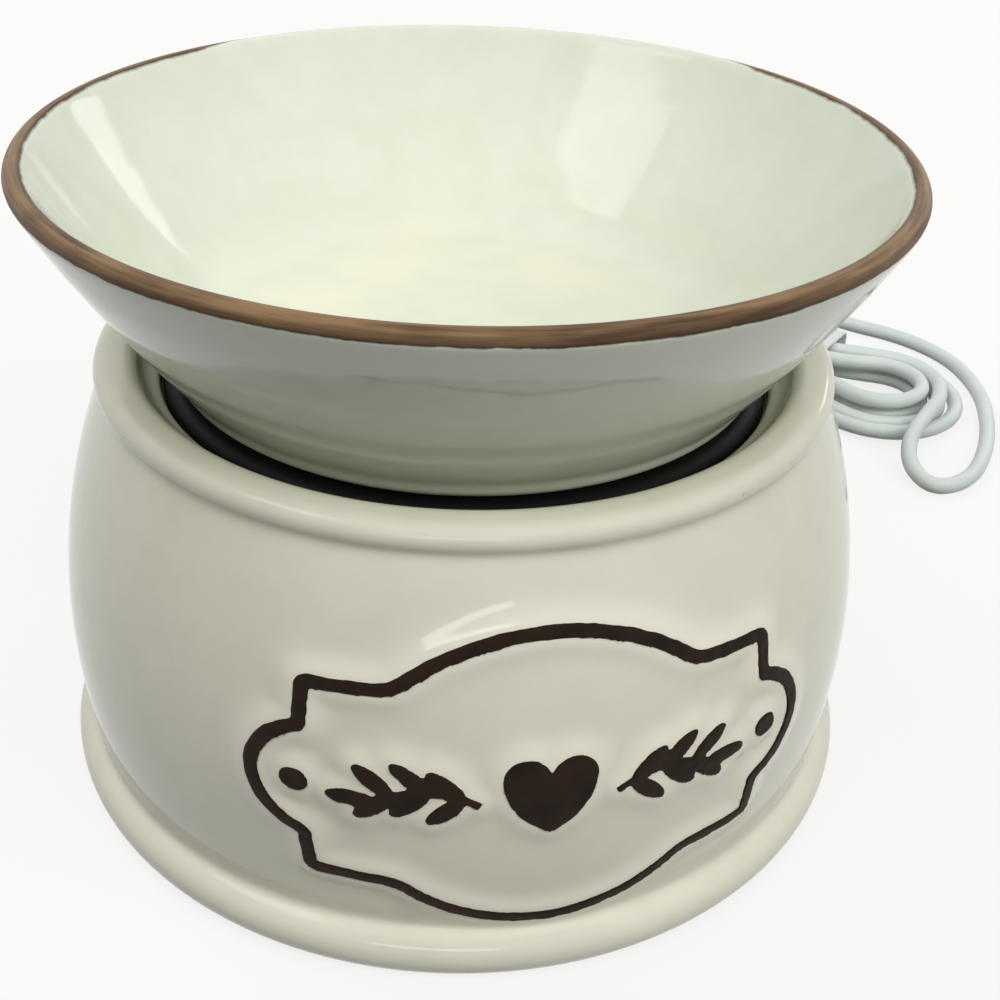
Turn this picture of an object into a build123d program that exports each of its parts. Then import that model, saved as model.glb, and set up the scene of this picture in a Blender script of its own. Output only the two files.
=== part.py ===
"""Electric wax melt warmer: a glazed ceramic barrel with a hot plate, a lift-off dish and a mains lead.

Millimetres, +Z up. The origin is on the table, on the axis of the barrel. The plaque faces -Y and the
mains lead leaves the back, at +Y.
"""

import math
import os

from build123d import *

os.makedirs("parts", exist_ok=True)

# Clearances
slip_clearance = 0.3  # round a piece that drops into a recess
bore_clearance = 0.1  # round a rod, post or wire in its hole
swing_clearance = 0.35  # round the rocker in its window
same_point = 0.01  # two places nearer than this are one

# Ceramic barrel
foot_gap = 0.8  # foot rim above the table
foot_radius = 76.0
foot_sole_inset = 1.4  # edge of the sole inside the foot bead
foot_bulge_height = 4.6
foot_top = 9.0
foot_stand = 1.75  # foot bead outside the widest part of the barrel
bulge_height = 31.0
body_wall = 4.5

# Collar and well round the hot plate
seat_radius = 54.1  # wall round the plate
seat_depth = 3.2
ledge_height = 74.0
ledge_width = 4.6
lip_width = 3.5  # cove from the wall round the plate out to the lip
lip_rise = 6.2
collar_width = 10.15  # from the wall round the plate out to the crease under the collar
neck_rise = 3.4  # from the ledge up to the crease under the collar
collar_stand = 1.05  # rolled collar outside the neck
collar_waist_rise = 5.6  # from the ledge up to the widest point of the collar
collar_rise = 8.2
collar_crest_inset = 1.62  # level crest inside the neck
collar_crest_width = 2.2
deck_thickness = 5.0

# Foot recess for the base plate
foot_rim_width = 7.4  # sole of the foot, outside the recess
base_recess_depth = 2.7
base_flange_width = 5.2
base_flange_thickness = 4.0

# Plaque on the front
plaque_centre = 39.6  # height of its middle
plaque_tip = 44.4  # half width at the ears
plaque_corner = (36.2, 17.5)
plaque_notch = (37.0, 9.9)
plaque_shoulder = (23.5, 18.1)
plaque_arch = 27.2
plaque_shoulder_round = 7.0
plaque_corner_round = 1.4
plaque_notch_round = 1.8
plaque_line = 2.2  # width of the raised line
plaque_relief = 1.1
rivet_reach = 38.2
rivet_radius = 2.1
heart_width = 15.0
heart_height = 14.0
sprig_start = 10.8
sprig_length = 15.5
sprig_rise = 2.4
stem_width = 1.4
leaf_pairs = 3
leaf_length = 7.4
leaf_width = 3.0
leaf_angle = 40.0

# Dish
dish_height = 39.3
dish_rim_radius = 75.0
dish_rim_depth = 2.2  # from the outer edge of the rim up to its crown
dish_rim_width = 3.2
dish_base_inset = 5.1  # foot of the dish inside the wall round the plate
dish_base_round = 3.2
dish_wall_sag = 1.0  # how far the wall bows out between base and rim
dish_wall = 4.0
dish_floor = 4.6
dish_floor_inset = 8.1  # level floor inside the foot
dish_floor_cove = 5.0  # height of the cove between floor and wall
dish_foot_width = 6.0  # foot ring round a shallow hollow
dish_foot_depth = 0.8

# Hot plate
plate_clearance = 0.4  # round the plate in its seat
plate_stand = 4.3  # from the ledge up to the face of the plate
plate_sheet = 1.2
plate_edge_round = 2.4
gasket_thickness = 0.8
gasket_inset = 0.9  # inner edge of the gasket back from the ledge's edge
boss_radius = 5.0
boss_height = 4.2

# Heater stack under the plate
element_inset = 2.5  # edge of the element inside the cover
element_thickness = 1.2
cover_inset = 3.0  # edge of the cover inside the ledge's opening
cover_sheet = 0.8
cover_rib_radius = 30.0
cover_rib_depth = 1.5
cover_rib_width = 6.0
post_spacing = 28.0
post_row = 14.0
post_radius = 1.3
post_drop = 6.0  # below the heater cover
bead_radius = 3.2
bead_length = 7.0

# Tie rod and its nuts
rod_radius = 2.0
rod_top_gap = 1.2  # boss metal left above the rod
nut_flats = 7.0
nut_height = 3.2
washer_radius = 4.5
washer_thickness = 0.8
rod_tail = 1.2  # rod past the lower nut

# Base plate and feet
base_sheet = 1.5
base_edge_clearance = 0.4
dimple_rise = 5.2
dimple_radius = 13.0
dimple_slope = 4.0
vent_count = 8
vent_reach = 34.0  # from the axis to the middle of a vent
vent_length = 12.0
vent_width = 4.0
pad_radius = 7.5
pad_inset = 12.2  # middle of a pad inside the recess
pad_count = 4
pad_round = 0.6

# Mains cord and the way it enters
cord_diameter = 4.2
cord_entry_height = 19.5
entry_radius = 5.0
spot_face_radius = 8.2
spot_face_depth = 1.0
bush_flange_radius = 6.8
bush_flange_thickness = 1.6
boot_length = 24.0
boot_root_radius = 4.6
boot_tip_radius = 3.1
boot_groove_count = 4
boot_groove_width = 1.6
boot_groove_depth = 0.9
boot_groove_start = 3.4  # first groove past the flange
boot_groove_pitch = 4.4
bush_lock_thickness = 2.0
core_radius = 1.0
clamp_inset = 12.0  # middle of the clamp inside the base flange
strip_inset = 14.0  # end of the sheath inside the middle of the clamp
clamp_length = 12.0
clamp_width = 25.0
clamp_strap = 4.5
clamp_screw_spacing = 16.0
screw_radius = 1.4
screw_head_radius = 2.7
screw_head_height = 1.8
screw_reach = 7.0
cap_offset = 8.0
cap_radius = 3.1
cap_bore = 2.3
cap_inset = 16.0  # mouth of a cap inside the end of the sheath
cap_length = 14.0
cap_depth = 8.0

# Thermal fuse
fuse_row = 22.0
fuse_radius = 2.0
fuse_length = 11.0
fuse_stub_radius = 0.6
fuse_stub = 4.5
clip_sheet = 0.6
clip_width = 6.0
clip_tab = 5.0

# In-line switch, lying behind the body with its length along Y
switch_place = (-22.0, 157.0)
switch_length = 46.0
switch_width = 18.0
switch_split = 6.0
switch_height = 13.4
switch_wall = 1.6
switch_corner = 5.0
switch_edge_round = 1.6
rocker_length = 15.6
rocker_width = 8.6
rocker_end_height = 4.4
rocker_middle_height = 2.8
rocker_skirt = 2.6
rocker_tilt = 10.0  # off position, the far end up
pin_radius = 1.0
pin_height = 10.4
contact_sheet = 0.7
contact_width = 4.0
contact_reach = 11.0
contact_height = 3.4
switch_screw_place = (15.0, 5.6)
switch_post_radius = 2.5
switch_screw_radius = 1.0
switch_screw_head = 1.9

# Plug, lying behind the body with its blades towards -X
plug_face = (72.0, 182.0)
plug_body_length = 26.0
plug_face_width = 24.0
plug_face_height = 14.0
plug_neck_length = 13.0
plug_neck_radius = 3.4
plug_back_width = 11.0
plug_back_height = 10.0
plug_corner = 3.5
blade_spacing = 12.7
blade_height = 6.3
blade_thickness = 1.5
blade_length = 16.0
blade_seat = 5.0

# Hank of cord, tied at its waist
hank_middle = (126.0, 120.0)
hank_angle = -46.0  # direction of the loops that show, from +X
hank_fold_show = 21.0  # waist to the middle of the folds that show
hank_fold_back = 24.0
hank_inner_fold = 10.5
hank_inner_waist = 3.4
hank_step = 4.9  # from a turn to the next in a layer
hank_layer = 4.9
hank_lift = 0.9  # under the hank, where the tie passes
hank_first = -1  # quarter-turn station where the cord comes in, at the back fold
hank_climb_from = 10  # station where it climbs to the upper layer
hank_climb_to = 12
hank_last = 17  # station where it leaves, at a fold that shows
tie_sheet = 0.6
tie_width = 5.0

# Derived sizes
cord_radius = cord_diameter / 2
bulge_radius = foot_radius - foot_stand
foot_sole_radius = foot_radius - foot_sole_inset
base_recess_radius = foot_sole_radius - foot_rim_width
base_flange_opening = base_recess_radius - base_flange_width
pad_reach = base_recess_radius - pad_inset
clamp_middle = base_flange_opening - clamp_inset
cord_strip = clamp_middle - strip_inset
cap_mouth = cord_strip - cap_inset
plate_radius = seat_radius - plate_clearance
ledge_opening = seat_radius - ledge_width
gasket_inner_radius = ledge_opening + gasket_inset
cover_radius = ledge_opening - cover_inset
element_radius = cover_radius - element_inset
dish_base_radius = seat_radius - dish_base_inset
dish_floor_radius = dish_base_radius - dish_floor_inset
dish_foot_radius = dish_base_radius - dish_foot_width
lip_radius = seat_radius + lip_width
neck_radius = seat_radius + collar_width
collar_crest_outer = neck_radius - collar_crest_inset
collar_crest_inner = collar_crest_outer - collar_crest_width
neck_height = ledge_height + neck_rise
collar_radius = neck_radius + collar_stand
collar_waist_height = ledge_height + collar_waist_rise
collar_top = ledge_height + collar_rise
lip_height = ledge_height + lip_rise
seat_wall_top = ledge_height + seat_depth
plate_top = ledge_height + plate_stand
barrel_arc = ((neck_height - bulge_height) ** 2 + (bulge_radius - neck_radius) ** 2) / (
    2 * (bulge_radius - neck_radius)
)
deck_bottom = ledge_height - deck_thickness
gasket_top = ledge_height + gasket_thickness
plate_bottom = plate_top - plate_sheet
boss_bottom = plate_bottom - boss_height
element_bottom = plate_bottom - element_thickness
cover_bottom = boss_bottom - cover_sheet
post_bottom = cover_bottom - post_drop
base_flange_bottom = foot_gap + base_recess_depth
base_plate_top = base_flange_bottom
base_plate_bottom = base_plate_top - base_sheet
dimple_bottom = base_plate_bottom + dimple_rise
rod_top = plate_bottom - rod_top_gap
rod_bottom = dimple_bottom - washer_thickness - nut_height - rod_tail
dish_bottom = plate_top
dish_top = dish_bottom + dish_height
plug_axis_height = plug_face_height / 2


def barrel_radius(height):
    """Outer radius of the barrel: one arc, widest at the bulge, that ends at the neck."""
    return bulge_radius - barrel_arc + math.sqrt(barrel_arc**2 - (height - bulge_height) ** 2)


def finish(piece, name):
    """Label a finished piece and write it under its own name."""
    piece.part.label = name
    export_step(piece.part, f"parts/{name}.step")


# Ceramic body: foot bead, barrel, rolled collar, and the well with its ledge for the hot plate
inner_foot_top = base_flange_bottom + base_flange_thickness
inner_wall_start = inner_foot_top + body_wall
with BuildPart() as ceramic_body:
    with BuildSketch(Plane.XZ):
        with BuildLine():
            bead = ThreePointArc(
                (foot_sole_radius, foot_gap),
                (foot_radius, foot_bulge_height),
                (barrel_radius(foot_top), foot_top),
            )
            barrel = ThreePointArc(bead @ 1, (bulge_radius, bulge_height), (neck_radius, neck_height))
            collar = ThreePointArc(
                barrel @ 1, (collar_radius, collar_waist_height), (collar_crest_outer, collar_top)
            )
            crest = Line(collar @ 1, (collar_crest_inner, collar_top))
            lip = TangentArc(crest @ 1, (lip_radius, lip_height), tangent=(-1, 0))
            cove = TangentArc(lip @ 1, (seat_radius, seat_wall_top), tangent=lip % 1)
            ledge = Polyline(
                cove @ 1,
                (seat_radius, ledge_height),
                (ledge_opening, ledge_height),
                (ledge_opening, deck_bottom),
                (barrel_radius(deck_bottom) - body_wall, deck_bottom),
            )
            inside = ThreePointArc(
                ledge @ 1,
                (bulge_radius - body_wall, bulge_height),
                (barrel_radius(inner_wall_start) - body_wall, inner_wall_start),
            )
            Polyline(
                inside @ 1,
                (base_flange_opening, inner_foot_top),
                (base_flange_opening, base_flange_bottom),
                (base_recess_radius, base_flange_bottom),
                (base_recess_radius, foot_gap),
                bead @ 0,
            )
        make_face()
    revolve(axis=Axis.Z)
    spot_face = barrel_radius(cord_entry_height) - spot_face_depth
    with BuildSketch(Plane((0, spot_face, cord_entry_height), x_dir=(1, 0, 0), z_dir=(0, 1, 0))):
        Circle(spot_face_radius)
    extrude(amount=foot_radius, mode=Mode.SUBTRACT)
    with BuildSketch(Plane((0, base_flange_opening, cord_entry_height), x_dir=(1, 0, 0), z_dir=(0, 1, 0))):
        Circle(entry_radius)
    extrude(amount=foot_radius, mode=Mode.SUBTRACT)
finish(ceramic_body, "ceramic_body")

# Plaque: the raised line, its two rivets and a heart between two leaf sprigs, wrapped on the barrel
plaque_plane = Plane((0, 0, plaque_centre), x_dir=(1, 0, 0), z_dir=(0, -1, 0))
with BuildPart() as plaque_moulding:
    with BuildSketch(plaque_plane) as plaque_outline:
        with BuildLine():
            arch = ThreePointArc(
                (0, plaque_arch),
                (plaque_shoulder[0] * 0.55, plaque_arch - (plaque_arch - plaque_shoulder[1]) * 0.28),
                plaque_shoulder,
            )
            corner = Polyline(arch @ 1, plaque_corner, plaque_notch)
            ThreePointArc(corner @ 1, (plaque_tip, 0), (plaque_notch[0], -plaque_notch[1]))
            mirror(about=Plane.XZ)
            mirror(about=Plane.YZ)
        make_face()
        for bend, bend_round in (
            (plaque_shoulder, plaque_shoulder_round),
            (plaque_corner, plaque_corner_round),
            (plaque_notch, plaque_notch_round),
        ):
            corners = plaque_outline.vertices()
            fillet([v for v in corners if math.dist((abs(v.X), abs(v.Y)), bend) < same_point], bend_round)
        offset(amount=plaque_line / 2, kind=Kind.ARC)
        offset(amount=-plaque_line, kind=Kind.ARC, mode=Mode.SUBTRACT)
    with BuildSketch(plaque_plane):
        with Locations((rivet_reach, 0), (-rivet_reach, 0)):
            Circle(rivet_radius)
    with BuildSketch(plaque_plane):
        with BuildLine():
            lobe = ThreePointArc(
                (0, heart_height * 0.28),
                (heart_width * 0.27, heart_height * 0.5),
                (heart_width / 2, heart_height * 0.2),
            )
            TangentArc(lobe @ 1, (0, -heart_height / 2), tangent=lobe % 1)
            mirror(about=Plane.YZ)
        make_face()
    with BuildSketch(plaque_plane):
        with BuildLine():
            stem = ThreePointArc(
                (sprig_start, -sprig_rise / 2),
                (sprig_start + sprig_length / 2, sprig_rise / 2),
                (sprig_start + sprig_length, -sprig_rise / 2),
            )
        trace(stem, stem_width)
        pair_reach = [(pair + 0.5) / leaf_pairs for pair in range(leaf_pairs)]
        leaves = [(reach, side * leaf_angle) for reach in pair_reach for side in (1, -1)]
        for reach, turn in [*leaves, (1, 0)]:
            leaf_middle = stem @ reach + Vector(leaf_length / 2, 0).rotate(Axis.Z, turn)
            with Locations(Location((leaf_middle.X, leaf_middle.Y, 0), (0, 0, turn))):
                Ellipse(leaf_length / 2, leaf_width / 2)
        mirror(about=Plane.YZ)
    extrude(amount=foot_radius + plaque_relief)
    with BuildSketch(Plane.XZ):
        with BuildLine():
            glued = ThreePointArc(
                (barrel_radius(foot_top), foot_top), (bulge_radius, bulge_height), (neck_radius, neck_height)
            )
            raised = ThreePointArc(
                (barrel_radius(foot_top) + plaque_relief, foot_top),
                (bulge_radius + plaque_relief, bulge_height),
                (neck_radius + plaque_relief, neck_height),
            )
            Line(glued @ 0, raised @ 0)
            Line(glued @ 1, raised @ 1)
        make_face()
    revolve(axis=Axis.Z, mode=Mode.INTERSECT)
finish(plaque_moulding, "plaque_moulding")

# Dish: bowed wall, rounded rim, coved floor and a shallow hollow inside the foot ring
rim_edge = dish_top - dish_rim_depth
wall_base = (dish_base_radius + dish_base_round, dish_bottom + dish_base_round)
wall_run = math.hypot(dish_rim_radius - wall_base[0], rim_edge - wall_base[1])
wall_out = ((rim_edge - wall_base[1]) / wall_run, (wall_base[0] - dish_rim_radius) / wall_run)
wall_middle = (
    (dish_rim_radius + wall_base[0]) / 2 + dish_wall_sag * wall_out[0],
    (rim_edge + wall_base[1]) / 2 + dish_wall_sag * wall_out[1],
)
floor_height = dish_bottom + dish_floor
rim_inner = dish_rim_radius - dish_rim_width
rim_fall = dish_rim_depth / 5  # from the crown to the inner edge of the rim
with BuildPart() as wax_dish:
    with BuildSketch(Plane.XZ):
        with BuildLine():
            hollow = Polyline(
                (0, dish_bottom + dish_foot_depth),
                (dish_foot_radius, dish_bottom + dish_foot_depth),
                (dish_foot_radius + dish_foot_depth, dish_bottom),
                (dish_base_radius, dish_bottom),
            )
            base_round = TangentArc(hollow @ 1, wall_base, tangent=(1, 0))
            wall = ThreePointArc(base_round @ 1, wall_middle, (dish_rim_radius, rim_edge))
            rim_crown = ThreePointArc(
                wall @ 1,
                (dish_rim_radius - dish_rim_width / 2, dish_top - rim_fall / 2),
                (rim_inner, dish_top - rim_fall),
            )
            bowl = ThreePointArc(
                rim_crown @ 1,
                (wall_middle[0] - dish_wall * wall_out[0], wall_middle[1] - dish_wall * wall_out[1]),
                (
                    wall_base[0] - dish_wall * wall_out[0] + dish_floor_cove * 0.55,
                    floor_height + dish_floor_cove,
                ),
            )
            cove_end = TangentArc((dish_floor_radius, floor_height), bowl @ 1, tangent=(1, 0))
            Polyline(cove_end @ 0, (0, floor_height), hollow @ 0)
        make_face()
    revolve(axis=Axis.Z)
finish(wax_dish, "wax_dish")

# Hot plate: a pressed pan, upside down, with a boss under its middle for the tie rod
with BuildPart() as hot_plate:
    with BuildSketch(Plane.XZ):
        with BuildLine():
            Polyline(
                (0, plate_top),
                (plate_radius, plate_top),
                (plate_radius, gasket_top),
                (plate_radius - plate_sheet, gasket_top),
                (plate_radius - plate_sheet, plate_bottom),
                (boss_radius, plate_bottom),
                (boss_radius, boss_bottom),
                (rod_radius + bore_clearance, boss_bottom),
                (rod_radius + bore_clearance, rod_top),
                (0, rod_top),
                close=True,
            )
        make_face()
    revolve(axis=Axis.Z)
    fillet(hot_plate.edges().group_by(Axis.Z)[-1], plate_edge_round)
finish(hot_plate, "hot_plate")

# Gasket between the pan's skirt and the ceramic ledge
with BuildPart() as plate_gasket:
    with BuildSketch(Plane.XY.offset(ledge_height)):
        Circle(seat_radius - slip_clearance)
        Circle(gasket_inner_radius, mode=Mode.SUBTRACT)
    extrude(amount=gasket_thickness)
finish(plate_gasket, "plate_gasket")

# Heater stack: mica element, fibre pad and pressed steel cover, all round the boss
post_places = [(post_spacing / 2, post_row), (-post_spacing / 2, post_row)]
with BuildPart() as heating_element:
    with BuildSketch(Plane.XY.offset(element_bottom)):
        Circle(element_radius)
        Circle(boss_radius + slip_clearance, mode=Mode.SUBTRACT)
    extrude(amount=element_thickness)
finish(heating_element, "heating_element")

with BuildPart() as heater_insulation:
    with BuildSketch(Plane.XY.offset(boss_bottom)):
        Circle(element_radius)
        Circle(boss_radius + slip_clearance, mode=Mode.SUBTRACT)
        with Locations(*post_places):
            Circle(bead_radius + bore_clearance, mode=Mode.SUBTRACT)
    extrude(amount=element_bottom - boss_bottom)
finish(heater_insulation, "heater_insulation")

with BuildPart() as heater_cover:
    with BuildSketch(Plane.XZ):
        with BuildLine():
            rib_top = boss_bottom - cover_rib_depth
            rib_in = cover_rib_radius - cover_rib_width / 2
            rib_out = cover_rib_radius + cover_rib_width / 2
            Polyline(
                (rod_radius + bore_clearance, boss_bottom),
                (rib_in - cover_rib_depth, boss_bottom),
                (rib_in, rib_top),
                (rib_out, rib_top),
                (rib_out + cover_rib_depth, boss_bottom),
                (cover_radius, boss_bottom),
                (cover_radius, cover_bottom),
                (rib_out + cover_rib_depth - cover_sheet / 2, cover_bottom),
                (rib_out - cover_sheet / 2, rib_top - cover_sheet),
                (rib_in + cover_sheet / 2, rib_top - cover_sheet),
                (rib_in - cover_rib_depth + cover_sheet / 2, cover_bottom),
                (rod_radius + bore_clearance, cover_bottom),
                close=True,
            )
        make_face()
    revolve(axis=Axis.Z)
    with BuildSketch(Plane.XY.offset(cover_bottom)):
        with Locations(*post_places):
            Circle(bead_radius + bore_clearance)
    extrude(amount=cover_sheet, mode=Mode.SUBTRACT)
finish(heater_cover, "heater_cover")

# Terminal posts of the element, each in a ceramic bead through the pad and the cover
with BuildPart() as terminal_posts:
    with BuildSketch(Plane.XY.offset(post_bottom)):
        with Locations(*post_places):
            Circle(post_radius)
    extrude(amount=element_bottom - post_bottom)
finish(terminal_posts, "terminal_posts")

with BuildPart() as terminal_beads:
    with BuildSketch(Plane.XY.offset(element_bottom - bead_length)):
        with Locations(*post_places):
            Circle(bead_radius)
            Circle(post_radius + bore_clearance, mode=Mode.SUBTRACT)
    extrude(amount=bead_length)
finish(terminal_beads, "terminal_beads")

# Tie rod from the boss to the base plate, with a nut under the cover and one in the dimple
with BuildPart() as tie_rod:
    with BuildSketch(Plane.XY.offset(rod_bottom)):
        Circle(rod_radius)
    extrude(amount=rod_top - rod_bottom)
    chamfer(tie_rod.edges().filter_by(GeomType.CIRCLE), rod_radius / 4)
finish(tie_rod, "tie_rod")


def washer_under(height):
    """A plain washer on the tie rod, hanging below a height."""
    with BuildPart() as washer:
        with BuildSketch(Plane.XY.offset(height - washer_thickness)):
            Circle(washer_radius)
            Circle(rod_radius + bore_clearance, mode=Mode.SUBTRACT)
        extrude(amount=washer_thickness)
    return washer


def nut_under(height):
    """A hexagon nut on the tie rod, hanging below a height."""
    with BuildPart() as nut:
        with BuildSketch(Plane.XY.offset(height - nut_height)):
            RegularPolygon(nut_flats / 2, 6, major_radius=False)
            Circle(rod_radius + bore_clearance, mode=Mode.SUBTRACT)
        extrude(amount=nut_height)
    return nut


finish(washer_under(cover_bottom), "cover_washer")
finish(nut_under(cover_bottom - washer_thickness), "cover_nut")
finish(washer_under(dimple_bottom), "base_washer")
finish(nut_under(dimple_bottom - washer_thickness), "base_nut")

# Base plate: pressed steel, dimpled for the nut, with vents, drawn up against the foot's flange
with BuildPart() as base_plate:
    with BuildSketch(Plane.XZ):
        with BuildLine():
            base_edge = base_recess_radius - base_edge_clearance
            Polyline(
                (rod_radius + bore_clearance, dimple_bottom),
                (dimple_radius, dimple_bottom),
                (dimple_radius + dimple_slope, base_plate_bottom),
                (base_edge, base_plate_bottom),
                (base_edge, base_plate_top),
                (dimple_radius + dimple_slope + base_sheet / 2, base_plate_top),
                (dimple_radius + base_sheet / 2, dimple_bottom + base_sheet),
                (rod_radius + bore_clearance, dimple_bottom + base_sheet),
                close=True,
            )
        make_face()
    revolve(axis=Axis.Z)
    with BuildSketch(Plane.XY.offset(base_plate_bottom)):
        with PolarLocations(vent_reach, vent_count, start_angle=180 / vent_count):
            SlotOverall(vent_length, vent_width)
    extrude(amount=base_sheet, mode=Mode.SUBTRACT)
finish(base_plate, "base_plate")

# Rubber pads stuck under the base plate
with BuildPart() as rubber_feet:
    with BuildSketch():
        with PolarLocations(pad_reach, pad_count, start_angle=180 / pad_count):
            Circle(pad_radius)
    extrude(amount=base_plate_bottom)
    chamfer(rubber_feet.edges().group_by(Axis.Z)[0], pad_round)
finish(rubber_feet, "rubber_feet")

# Strain relief: a flanged bush through the wall, with a tapered boot outside and a lock ring inside
entry_axis = Axis((0, 0, cord_entry_height), (0, 1, 0))
boot_tip = spot_face + bush_flange_thickness + boot_length
lock_face = barrel_radius(cord_entry_height - bush_flange_radius) - body_wall - slip_clearance
bush_bore = cord_radius + bore_clearance
with BuildPart() as strain_relief:
    with BuildSketch(Plane((0, 0, cord_entry_height), x_dir=(0, 1, 0), z_dir=(1, 0, 0))):
        with BuildLine():
            Polyline(
                (boot_tip, bush_bore),
                (boot_tip, boot_tip_radius),
                (spot_face + bush_flange_thickness, boot_root_radius),
                (spot_face + bush_flange_thickness, bush_flange_radius),
                (spot_face, bush_flange_radius),
                (spot_face, entry_radius - slip_clearance),
                (lock_face, entry_radius - slip_clearance),
                (lock_face, bush_flange_radius),
                (lock_face - bush_lock_thickness, bush_flange_radius),
                (lock_face - bush_lock_thickness, bush_bore),
                close=True,
            )
        make_face()
    revolve(axis=entry_axis)
    with BuildSketch(Plane((0, 0, cord_entry_height), x_dir=(0, 1, 0), z_dir=(1, 0, 0))):
        for groove in range(boot_groove_count):
            past = boot_groove_start + groove * boot_groove_pitch
            taper = past / boot_length
            skin = boot_root_radius + (boot_tip_radius - boot_root_radius) * taper
            with Locations((spot_face + bush_flange_thickness + past, skin)):
                Rectangle(boot_groove_width, 2 * boot_groove_depth * (1 - taper / 2))
    revolve(axis=entry_axis, mode=Mode.SUBTRACT)
finish(strain_relief, "strain_relief")

# Cord inside the bush and the clamp, as far as the end of its sheath
with BuildPart() as cord_inner:
    with BuildSketch(Plane((0, cord_strip, cord_entry_height), x_dir=(1, 0, 0), z_dir=(0, 1, 0))):
        Circle(cord_radius)
    extrude(amount=boot_tip - cord_strip)
finish(cord_inner, "cord_inner")

# Cord clamp: a grooved block on the base plate, a strap over the cord and two screws
clamp_screws_at = [(clamp_screw_spacing / 2, clamp_middle), (-clamp_screw_spacing / 2, clamp_middle)]
clamp_start = Plane(
    (0, clamp_middle - clamp_length / 2, cord_entry_height), x_dir=(1, 0, 0), z_dir=(0, 1, 0)
)
strap_top = cord_entry_height + cord_radius + clamp_strap
with BuildPart() as clamp_block:
    with BuildSketch(Plane.XY.offset(base_plate_top)):
        with Locations((0, clamp_middle)):
            RectangleRounded(clamp_width, clamp_length, screw_radius)
    extrude(amount=cord_entry_height - base_plate_top)
    with BuildSketch(clamp_start):
        Circle(cord_radius)
    extrude(amount=clamp_length, mode=Mode.SUBTRACT)
    with BuildSketch(Plane.XY.offset(strap_top - screw_reach - clamp_strap)):
        with Locations(*clamp_screws_at):
            Circle(screw_radius + bore_clearance)
    extrude(amount=clamp_length, mode=Mode.SUBTRACT)
finish(clamp_block, "clamp_block")

with BuildPart() as clamp_bridge:
    with BuildSketch(Plane.XY.offset(cord_entry_height)):
        with Locations((0, clamp_middle)):
            RectangleRounded(clamp_width, clamp_length, screw_radius)
    extrude(amount=strap_top - cord_entry_height)
    with BuildSketch(clamp_start):
        Circle(cord_radius)
    extrude(amount=clamp_length, mode=Mode.SUBTRACT)
    with BuildSketch(Plane.XY.offset(cord_entry_height)):
        with Locations(*clamp_screws_at):
            Circle(screw_radius + bore_clearance)
    extrude(amount=clamp_length, mode=Mode.SUBTRACT)
finish(clamp_bridge, "clamp_bridge")

with BuildPart() as clamp_screws:
    with BuildSketch(Plane.XY.offset(strap_top - screw_reach - clamp_strap)):
        with Locations(*clamp_screws_at):
            Circle(screw_radius)
    extrude(amount=screw_reach + clamp_strap)
    with BuildSketch(Plane.XY.offset(strap_top)):
        with Locations(*clamp_screws_at):
            Circle(screw_head_radius)
    extrude(amount=screw_head_height)
finish(clamp_screws, "clamp_screws")


def wire(points, bend, radius):
    """A wire of a given radius along straight runs, with one bend radius at every corner."""
    with BuildPart(mode=Mode.PRIVATE) as strand:
        with BuildLine() as route:
            FilletPolyline(*points, radius=bend)
        with BuildSketch(Plane(origin=route.line @ 0, z_dir=route.line % 0)):
            Circle(radius)
        sweep(path=route.wire())
    return strand.part


# Cores of the cord, from the end of the sheath into the crimp caps
wire_bend = 3.0
core_side = core_radius + bore_clearance / 2
cap_end = cap_mouth - cap_depth
core_runs = [
    wire(
        [
            (side * core_side, cord_strip, cord_entry_height),
            (side * core_side, cord_strip - 5, cord_entry_height),
            (side * (cap_offset - core_side), cap_mouth + 4, cord_entry_height),
            (side * (cap_offset - core_side), cap_end, cord_entry_height),
        ],
        wire_bend,
        core_radius,
    )
    for side in (1, -1)
]
with BuildPart() as cord_cores:
    add(core_runs)
finish(cord_cores, "cord_cores")

# Closed-end crimp caps, each joining a core of the cord to a lead of the heater
with BuildPart() as crimp_caps:
    for side in (1, -1):
        mouth = Plane((side * cap_offset, cap_mouth, cord_entry_height), x_dir=(1, 0, 0), z_dir=(0, -1, 0))
        with BuildSketch(mouth):
            Circle(cap_radius)
        extrude(amount=cap_length)
        with BuildSketch(mouth):
            Circle(cap_bore)
        extrude(amount=cap_depth, mode=Mode.SUBTRACT)
finish(crimp_caps, "crimp_caps")

# Thermal fuse under the heater cover, in a spring clip
fuse_height = cover_bottom - clip_sheet - fuse_radius
fuse_end = fuse_length / 2 + fuse_stub
with BuildPart() as thermal_fuse:
    with BuildSketch(Plane((-fuse_length / 2, fuse_row, fuse_height), x_dir=(0, 1, 0), z_dir=(1, 0, 0))):
        Circle(fuse_radius)
    extrude(amount=fuse_length)
    chamfer(thermal_fuse.edges().filter_by(GeomType.CIRCLE), fuse_radius / 3)
    with BuildSketch(Plane((-fuse_end, fuse_row, fuse_height), x_dir=(0, 1, 0), z_dir=(1, 0, 0))):
        Circle(fuse_stub_radius)
    extrude(amount=2 * fuse_end)
finish(thermal_fuse, "thermal_fuse")

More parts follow.
